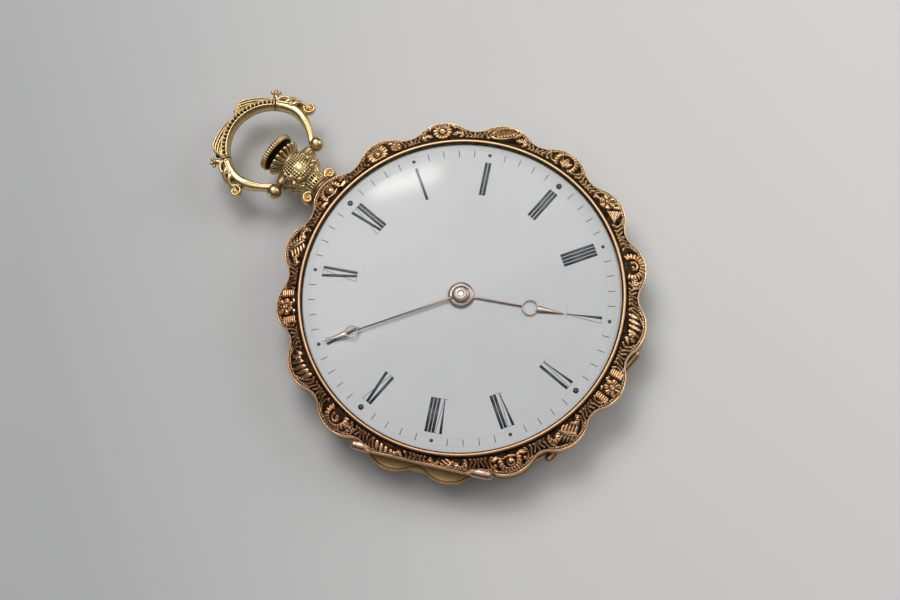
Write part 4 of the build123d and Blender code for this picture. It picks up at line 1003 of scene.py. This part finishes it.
def add_plume(solid, start):
    """Acanthus on the outer edge: strands leave the rail one by one and curl over at the end."""
    # The web under the strands is fully dark: painted shade in the gaps between them.
    web = bow_path([(start + 50, 0.5, 0), (start + 34, 0.66, 0), (start + 16, 0.9, 0), (start + 4, 0.8, 0)])
    share = np.linspace(0, 1, len(web))
    solid.tube(web, 0.2 + 0.26 * share, 0.3 + 0.1 * share, shade=1.0)
    for k in range(4):
        root, last, top = start + 51 - 12 * k, start + 10 - 3.2 * k, 1.46 - 0.31 * k
        for face in (-1, 1):
            rise = face * (0.5 + 0.13 * k)
            path = bow_path([
                (root, 0.5, face * 0.7), (0.55 * root + 0.45 * last, 0.62 + 0.5 * (top - 0.6), rise),
                (last + 8, top, rise), (last + 3, top + 0.02, rise * 0.95), (last, top - 0.22, rise * 0.9),
                (last + 0.5, top - 0.5, rise * 0.9)])
            swell = 0.6 + 0.4 * np.sin(pi * np.linspace(0, 1, len(path)) ** 1.5)
            solid.tube(path, 0.16 * swell, 0.26 * swell)


def add_finial(solid, side):
    """The little curled knob where the crown ends."""
    turn = side * FINIAL_TURN
    stem = bow_path([(turn + side * 1.5, 0.45, 0), (turn, 0.9, 0), (turn - side * 2.0, 1.3, 0)])
    solid.tube(stem, 0.36, 0.46, shade=0.15)
    for da, dr, dz, r in (
        (-1.5, 1.5, 0, 0.42), (-5.0, 1.75, 0, 0.27), (2.2, 1.75, 0, 0.24), (-1.5, 1.95, 0, 0.26),
        (-1.5, 1.5, 0.4, 0.24), (-1.5, 1.5, -0.4, 0.24),
    ):
        solid.ball(bow_point(turn + side * da, dr, dz), r)


def add_twisted_leaves(solid, side):
    """A teardrop loop and two twisted leaves that end in a volute."""
    for face in (-1, 1):
        loop = [(57.5, 0.3, 0.8), (60.5, 0.85, 0.8), (66, 1.12, 0.74), (71.5, 0.95, 0.74), (74, 0.5, 0.82),
                (70, 0.25, 0.92), (64, 0.2, 0.94), (58.5, 0.2, 0.9)]
        path = bow_path([(side * a, r, face * h) for a, r, h in loop])
        solid.tube(path, 0.19, 0.22)
        for shift in (0.0, 8.5):
            twist = [(66 + shift, 0.1, 0.85), (70 + shift, 0.6, 0.9), (74 + shift, 1.1, 0.72),
                     (79 + shift, 1.22, 0.5), (84 + shift, 0.95, 0.36)]
            path = bow_path([(side * a, r, face * h) for a, r, h in twist])
            taper = leaf_taper(len(path))
            solid.tube(path, 0.32 * taper, 0.3 * taper)
            path = bow_path([(side * (a - 3.0), r - 0.2, face * (h - 0.04)) for a, r, h in twist])
            solid.tube(path, 0.18 * taper, 0.24 * taper)
    # A dark web under the leaves: painted shade between them.
    web = bow_path([(side * a, r, 0) for a, r in ((58, 0.4), (68, 0.7), (80, 0.8), (90, 0.7))])
    solid.tube(web, 0.42, 0.55, shade=0.85)
    x, y, _ = bow_point(side * VOLUTE_TURN, 1.42)
    add_volute(solid, (x, y), 0.8, 0.3, 90 - side * VOLUTE_TURN + side * 100, side * 1.2, 0.27, 0.6)


def add_ball(solid, side):
    """The ball at each end of the bow, bored for its screw."""
    at, radius, bore, counterbore = 4.17, 0.98, 0.36, 0.63
    inner, outer, seat = 3.19, 4.86, 4.62
    turns = np.linspace(acos((inner - at) / radius), acos(0.76), 16)
    profile = [(bore, inner)] + [(radius * sin(a), at + radius * cos(a)) for a in turns]
    profile += [(counterbore, outer), (counterbore, seat), (bore, seat)]
    # Painted shade inside the bore and the counterbore.
    shades = [0.4] + [0.0] * 16 + [0.4, 0.9, 0.9]
    solid.lathe(profile, 40, lambda x, y, h: (side * h, PIVOT_Y + x, PENDANT_Z + y * side), shades)


# ---- hands, dial print and crystal
def make_hand(name, clock, length, ring_at, ring_r, low, root_half, blade_half, hub):
    """A moon hand: domed stem, open ring and tapering blade, on a turned hub."""
    solid = Solid()
    clock, thick = clock + DIAL_TURN, HAND_THICK
    domed = (-1, 0), (-1, 0.45), (-0.6, 0.85), (0, 1.0), (0.6, 0.85), (1, 0.45), (1, 0)

    def blade(stations):
        solid.loft([[(*turned(clock, reach, a * half), low + h * thick) for a, h in domed]
                    for reach, half in stations])

    blade([(0.9, root_half * 1.25), (1.6, root_half), (ring_at - ring_r + 0.1, root_half * 0.62)])
    neck = ring_at + ring_r
    blade([(neck - 0.1, blade_half * 0.86), (neck + 0.06, blade_half), (length - 0.9, 0.13),
           (length, 0.02)])
    wire = 0.09
    section = [(ring_r - wire + wire * cos(a), low + thick * (0.5 + 0.5 * sin(a))) for a in around(10)]
    ring_x, ring_y = turned(clock, ring_at)
    solid.lathe(section, 48, lambda x, y, h: (ring_x + x, ring_y + y, h))
    solid.lathe([(r, low + h) for r, h in hub], 72, on_axis)
    return solid.build(name, IVORY_STEEL)


PIN_R = 0.33                       # opening of the minute hand's cap, round the setting arbor
HAND_THICK = 0.15


def make_hour_hand():
    low = box_mm("hour_hand")[0][Z]
    hub = [(0.98, 0), (1.5, 0), (1.62, 0.04), (1.65, 0.1), (1.58, 0.19), (1.36, 0.24), (1.3, 0.27),
           (0.98, 0.27)]
    return make_hand("moon_hour_hand", 150.3, 13.1, 8.75, 1.03, low, 0.15, 0.44, hub)


def make_minute_hand():
    low = box_mm("minute_hand")[0][Z]
    hub = [(0.6, 0), (1.08, 0), (1.15, 0.05), (1.13, 0.16), (1.03, 0.29), (0.86, 0.39), (0.6, 0.46),
           (PIN_R, 0.49), (PIN_R, 0.41), (0.6, 0.41)]
    return make_hand("moon_minute_hand", 300.0, 18.2, 14.4, 0.82, low, 0.14, 0.40, hub)


DOT_R = 18.8                       # the middle of the minute track


def make_dial_print():
    """Roman hours with their feet to the centre, minute strokes, hour dots and two fine track circles."""
    low, high = DIAL_TOP - 0.003, DIAL_TOP + 0.008
    solid = Solid()

    def slab(clock, corners):
        flat = [turned(clock + DIAL_TURN, r, x) for x, r in corners]
        solid.loft([[(x, y, z) for x, y in flat] for z in (low, high)])

    def stroke(clock, x_foot, x_head, width, foot, head):
        half = width / 2
        slab(clock, [(x_foot - half, foot), (x_foot + half, foot), (x_head + half, head),
                     (x_head - half, head)])

    foot, head, thick, fine = 13.42, 17.8, 0.36, 0.06
    widths = {"I": 0.44, "V": 0.95, "X": 1.05}
    hours = ["I", "II", "III", "IIII", "V", "VI", "VII", "VIII", "IX", "X", "XI", "XII"]
    for k, word in enumerate(hours):
        clock = 30 * (k + 1)
        span = sum(widths[letter] for letter in word)
        x = -span / 2
        for letter in word:
            half = widths[letter] / 2
            middle = x + half
            if letter == "I":
                stroke(clock, middle, middle, thick, foot, head)
            elif letter == "V":
                slab(clock, [(middle - 0.03, foot), (middle + 0.04, foot), (middle - 0.1, head),
                             (middle - 0.46, head)])
                stroke(clock, middle + 0.04, middle + 0.42, fine, foot, head)
            else:
                stroke(clock, middle + 0.32, middle - 0.34, thick, foot, head)
                stroke(clock, middle - 0.4, middle + 0.42, fine, foot, head)
            x += widths[letter]
        end, line = span / 2 - 0.02, fine / 3
        for level in (foot, head):
            slab(clock, [(-end, level - line), (end, level - line), (end, level + line),
                         (-end, level + line)])
    for minute in range(60):
        if minute % 5:
            stroke(minute * 6, 0, 0, 0.09, DOT_R - 0.44, DOT_R + 0.44)
            continue
        radius = 0.37 if minute % 15 == 0 else 0.23
        x, y = turned(minute * 6 + DIAL_TURN, DOT_R)
        ring = [(x + radius * cos(a), y + radius * sin(a)) for a in around(28)]
        solid.loft([[(a, b, z) for a, b in ring] for z in (low, high)])
    fine, top = 0.004, high - 0.004
    for reach in (DOT_R - 0.5, DOT_R + 0.5):
        inner, outer = reach - fine, reach + fine
        solid.lathe([(inner, low), (outer, low), (outer, top), (inner, top)], 240, on_axis)
    return solid.build("dial_print", PAINT)


def dome_line(edge_r, edge_z, top_z, points):
    """Points on the sphere that passes through the edge and the top, from the edge inwards."""
    drop = top_z - edge_z
    sphere = (edge_r**2 + drop**2) / (2 * drop)
    return [(edge_r * f, top_z - sphere + sqrt(sphere**2 - (edge_r * f) ** 2))
            for f in np.linspace(1, 0.002, points)]


def make_crystal():
    """A thin high-edged crystal: a rim in the bezel's groove, a steep edge and a low dome."""
    (_, _, rim_low), (rim_r, _, top) = box_mm("crystal")
    edge = [(20.08, rim_low + 0.3), (20.07, 7.5), (20.0, 7.66), (19.86, 7.8), (19.66, 7.91), (19.4, 8.0),
            (19.05, 8.1)]
    skin, dome_low = 0.2, 8.22
    outer = edge + dome_line(18.7, dome_low, top, 26)
    inner = dome_line(18.66, dome_low - skin, top - skin, 26)[::-1]
    inner += [(r - skin * 0.75, z - skin * 0.66) for r, z in edge[:0:-1]] + [(19.88, rim_low)]
    profile = [(rim_r, rim_low), (rim_r, rim_low + 0.3)] + outer + inner
    solid = Solid()
    solid.lathe(profile, 200, on_axis)
    return solid.build("domed_crystal", GLASS)


# ---- put together
def stand_in(piece, body, slot, *nodes):
    """Ride a piece on its CAD body and hide the nodes it replaces. slot is not used."""
    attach(piece, body)
    if nodes:
        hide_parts(*nodes)


finish_cad_nodes()
for make, body, slot, nodes in (
    (make_bezel, "front_bezel", "case_gold", ["bezel"]),
    (make_hinge_tube, "front_bezel", "case_gold", []),
    (make_crystal, "front_bezel", "crystal_glass", ["crystal"]),
    (make_milled_edge, "back", "case_gold", []),
    (make_barrel_ends, "case", "case_gold", []),
    (make_pendant, "case", "bow_gold", ["pendant"]),
    (make_button, "push_piece", "bow_gold", ["push_button"]),
    (make_bow, "bow_ring", "bow_gold", ["bow"]),
    (make_hour_hand, "hour_pipe", "hand_gold", ["hour_hand"]),
    (make_minute_hand, "centre_arbor", "hand_gold", ["minute_hand"]),
    (make_dial_print, "case", None, []),
):
    stand_in(make(), body, slot, *nodes)


# ---- floor, light and camera
def floor_material():
    """A pale floor, its colour a little darker towards the left and lighter towards the right: painted shade and
    light.
    """
    new = Finish("pale_floor", {"Roughness": 0.7})
    # Painted light: the colour grades from dark to light across the floor.
    across = new.math("MULTIPLY_ADD", new.axis("X"), 6.2, 0.5)
    new.shade("Base Color", new.math("MULTIPLY_ADD", new.axis("Y"), -5.4, across),
              (0.05, (0.50, 0.505, 0.515)), (0.5, (0.68, 0.68, 0.68)), (0.95, (0.74, 0.735, 0.73)))
    new.bump(new.noise(1500, 3), 0.1, 0.00005)
    return new.material


def make_floor():
    bpy.ops.mesh.primitive_plane_add(size=4.0, location=(0, 0, -0.00002))
    floor = bpy.context.object
    floor.name = "floor"
    floor.data.materials.append(floor_material())


def area_light(name, direction, distance, size, power, colour):
    """A soft panel that looks at the watch from a direction."""
    light = bpy.data.lights.new(name, "AREA")
    light.shape = "RECTANGLE"
    light.size, light.size_y = size
    light.energy = power
    light.color = colour
    lamp = bpy.data.objects.new(name, light)
    lamp.location = Vector(direction).normalized() * distance
    lamp.rotation_euler = lamp.location.to_track_quat("Z", "Y").to_euler()
    bpy.context.scene.collection.objects.link(lamp)


def make_light():
    """A broad soft key, a weak side fill, a small glint on the crystal, and a sky bright overhead."""
    area_light("key", (0.239, 0.473, 0.848), 0.75, (0.52, 0.46), 2.75, (1.0, 0.99, 0.97))
    area_light("side", (0.74, -0.35, 0.57), 0.40, (0.22, 0.22), 0.38, (1.0, 0.995, 0.985))
    area_light("glint", (0.258, 0.414, 0.873), 0.60, (0.075, 0.015), 0.17, (1.0, 0.985, 0.95))
    world = bpy.data.worlds.new("studio")
    world.use_nodes = True
    sky = Nodes(world.node_tree)
    dome = sky.ramp(sky.axis("Z", "Generated"), (0.45, (0.015, 0.015, 0.015)),
                    (0.72, (0.20, 0.20, 0.205)), (0.95, (1.0, 1.0, 1.01)))
    background = sky.tree.nodes["Background"].inputs
    sky.put(dome, background["Color"])
    sky.put(0.72, background["Strength"])
    bpy.context.scene.world = world


def make_camera():
    """The photograph's view, fitted on the dial and turned with it."""
    camera = bpy.data.cameras.new("camera")
    camera.sensor_width, camera.lens = 36.0, 80.0
    camera.clip_start, camera.clip_end = 0.01, 10.0
    view = bpy.data.objects.new("camera", camera)
    right = Vector((0.65948, -0.74915, -0.06214))
    up = Vector((0.73381, 0.62362, 0.26949))
    backward = Vector((-0.16314, -0.22332, 0.96100))
    turn = Matrix((right, up, backward)).transposed().to_4x4()
    place = Matrix.Translation(Vector((-42.165, -55.192, 247.405)) * MM) @ turn
    view.matrix_world = Matrix.Rotation(radians(-DIAL_TURN), 4, "Z") @ place
    bpy.context.scene.collection.objects.link(view)
    bpy.context.scene.camera = view


make_floor()
make_light()
make_camera()
bpy.context.scene.view_settings.view_transform = "Standard"
